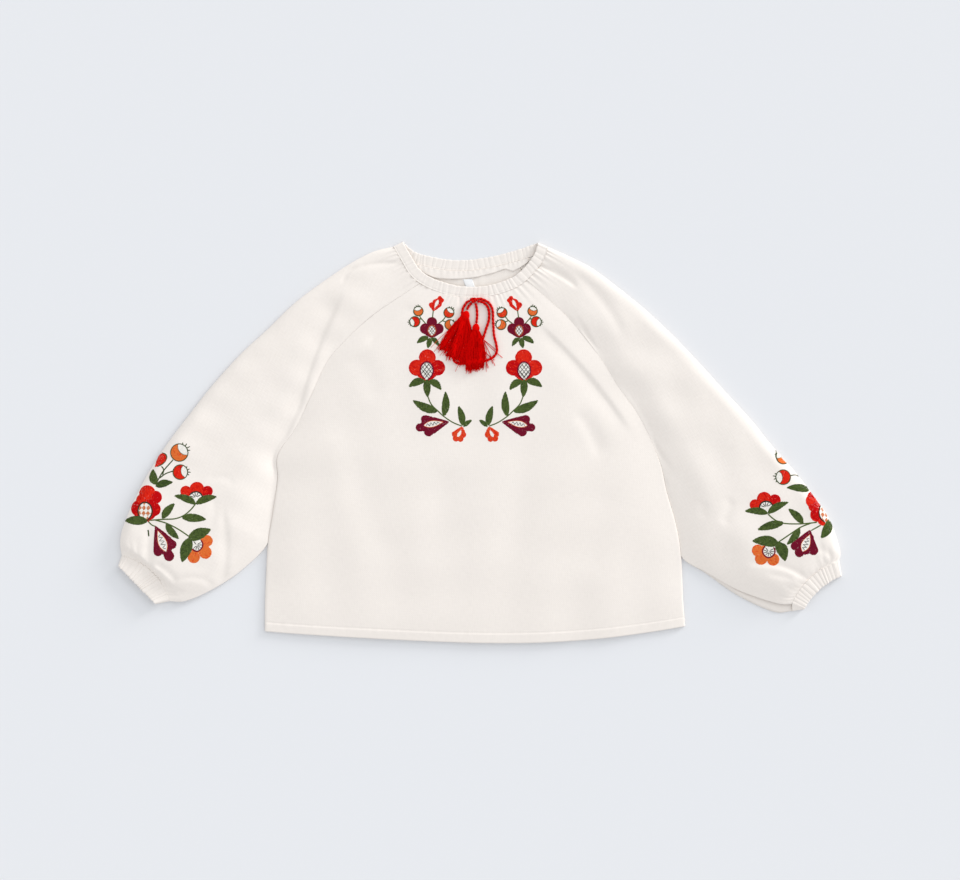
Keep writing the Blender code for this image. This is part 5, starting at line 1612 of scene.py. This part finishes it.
def layStitches(name, rows, raster, mats):
    # every stitch is a low three-sided thread, pressed in at both ends and humped between,
    # laid on the cloth's height; what would fall off the cloth's edge is cut back
    final = sewing["samples"] - 1
    f = np.linspace(0, 1, sewing["samples"])[None]
    x = rows[:, 0:1] + (rows[:, 2:3] - rows[:, 0:1]) * f
    y = rows[:, 1:2] + (rows[:, 3:4] - rows[:, 1:2]) * f
    z = readMap(raster, x, y)
    on = np.nan_to_num(z, nan=-1.0) > raster.get("least", 0.5)
    first = np.argmax(on, axis=1)
    last = final - np.argmax(on[:, ::-1], axis=1)
    ok = on.any(axis=1) & (last - first >= 2)
    f0, f1 = first / final, last / final
    start = rows[:, 0:2] + (rows[:, 2:4] - rows[:, 0:2]) * f0[:, None]
    end = rows[:, 0:2] + (rows[:, 2:4] - rows[:, 0:2]) * f1[:, None]
    start, end, rows = start[ok], end[ok], rows[ok]
    n, parts = len(rows), sewing["parts"]
    f = np.linspace(0, 1, parts)[None]
    x = start[:, 0:1] + (end[:, 0:1] - start[:, 0:1]) * f
    y = start[:, 1:2] + (end[:, 1:2] - start[:, 1:2]) * f
    ground = readMap(raster, x, y)
    ground = np.where(np.isnan(ground), np.nanmax(ground, axis=1, keepdims=True), ground)
    way = (end - start) / np.maximum(np.linalg.norm(end - start, axis=1), 1e-6)[:, None]
    hump = np.array([0.25, 0.85, 1.0, 0.85, 0.25])
    slim = np.array([0.55, 1.0, 1.0, 1.0, 0.55])
    half = rows[:, 5:6] / 2 * slim[None]
    low = ground + rows[:, 6:7] - 0.05
    high = low + 0.05 + sewing["rise"] * hump[None] * np.minimum(rows[:, 5:6] / 0.5, 1.2)
    px, py = -way[:, 1:2], way[:, 0:1]
    ring = np.stack([np.dstack([x + px * half, y + py * half, low]),
                     np.dstack([x, y, high]),
                     np.dstack([x - px * half, y - py * half, low])], axis=2)
    verts = ring.reshape(-1, 3)
    faces = threeSided(n, parts)
    slots = np.repeat(rows[:, 4].astype(int), (parts - 1) * 6 + 2)
    length = np.linalg.norm(end - start, axis=1)[:, None, None]
    uv = np.stack(np.broadcast_arrays(f[..., None] * length, np.array([0.0, 0.5, 1.0])), -1)
    used, slots = np.unique(slots, return_inverse=True)
    obj = meshObject(name, verts * mm, faces, [mats[u] for u in used], uv.reshape(-1, 2), slots)
    obj.data.shade_flat()
    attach(obj, "root")
    return obj


threadMats = [threadMaterial("thread" + key[0].upper() + key[1:], value, 0.85, 0.20, 0.0)
              for key, value in threads.items()]
stitchMap = heightMap(treeOf(frontObj), (-76.0, 68.0, -4.0, 152.0), 0.7)
sewnObjs = [
    layStitches("chestSewingLeft", sewCluster(motifs["chest"], 1000), stitchMap, threadMats),
    layStitches("chestSewingRight", sewCluster(motifs["chest"], 2000, -4.5), stitchMap,
                threadMats)]
for key, box, seed in (("left", (-362.0, -250.0, -124.0, 6.0), 3000),
                       ("right", (250.0, 362.0, -124.0, 6.0), 4000)):
    raster = dict(heightMap(treeOf(sleeveObjs[key]), box, 0.7), least=2.2)
    rows = sewCluster(motifs[key + "Sleeve"], seed)
    sewnObjs.append(layStitches(key + "SleeveSewing", rows, raster, threadMats))
for obj in sewnObjs:
    print(obj.name, len(obj.data.polygons))
# floor and light: an even grey-white room, a soft light from the upper right, and a broad
# low one beside it that gives the wide faint shadow; strength, direction and softness each
studio = dict(floor=(0.815, 0.822, 0.838), world=(0.95, 0.97, 1.0), worldStrength=0.852,
              lights=dict(high=(0.35, (1.0, 0.85, 0.95), 34.0),
                          low=(1.80, (0.76, 0.65, 0.21), 17.0)))
bpy.ops.mesh.primitive_plane_add(size=8.0, location=(0, 0, -0.0002))
floor = bpy.context.object
floor.name = "floor"
floor.data.materials.append(principled("floorPaper", studio["floor"], 0.95)[0])
world = bpy.data.worlds.new("studio")
world.use_nodes = True
world.node_tree.nodes["Background"].inputs["Color"].default_value = (*studio["world"], 1.0)
world.node_tree.nodes["Background"].inputs["Strength"].default_value = studio["worldStrength"]
bpy.context.scene.world = world
for key, (energy, direction, soft) in studio["lights"].items():
    sunData = bpy.data.lights.new(key + "Light", "SUN")
    sunData.energy = energy
    sunData.angle = math.radians(soft)
    sunObject = bpy.data.objects.new(key + "Light", sunData)
    sunObject.rotation_euler = (-Vector(direction)).to_track_quat("-Z", "Y").to_euler()
    bpy.context.scene.collection.objects.link(sunObject)
bpy.context.scene.view_settings.view_transform = "Standard"
bpy.context.scene.view_settings.look = "None"
print("floor and light")
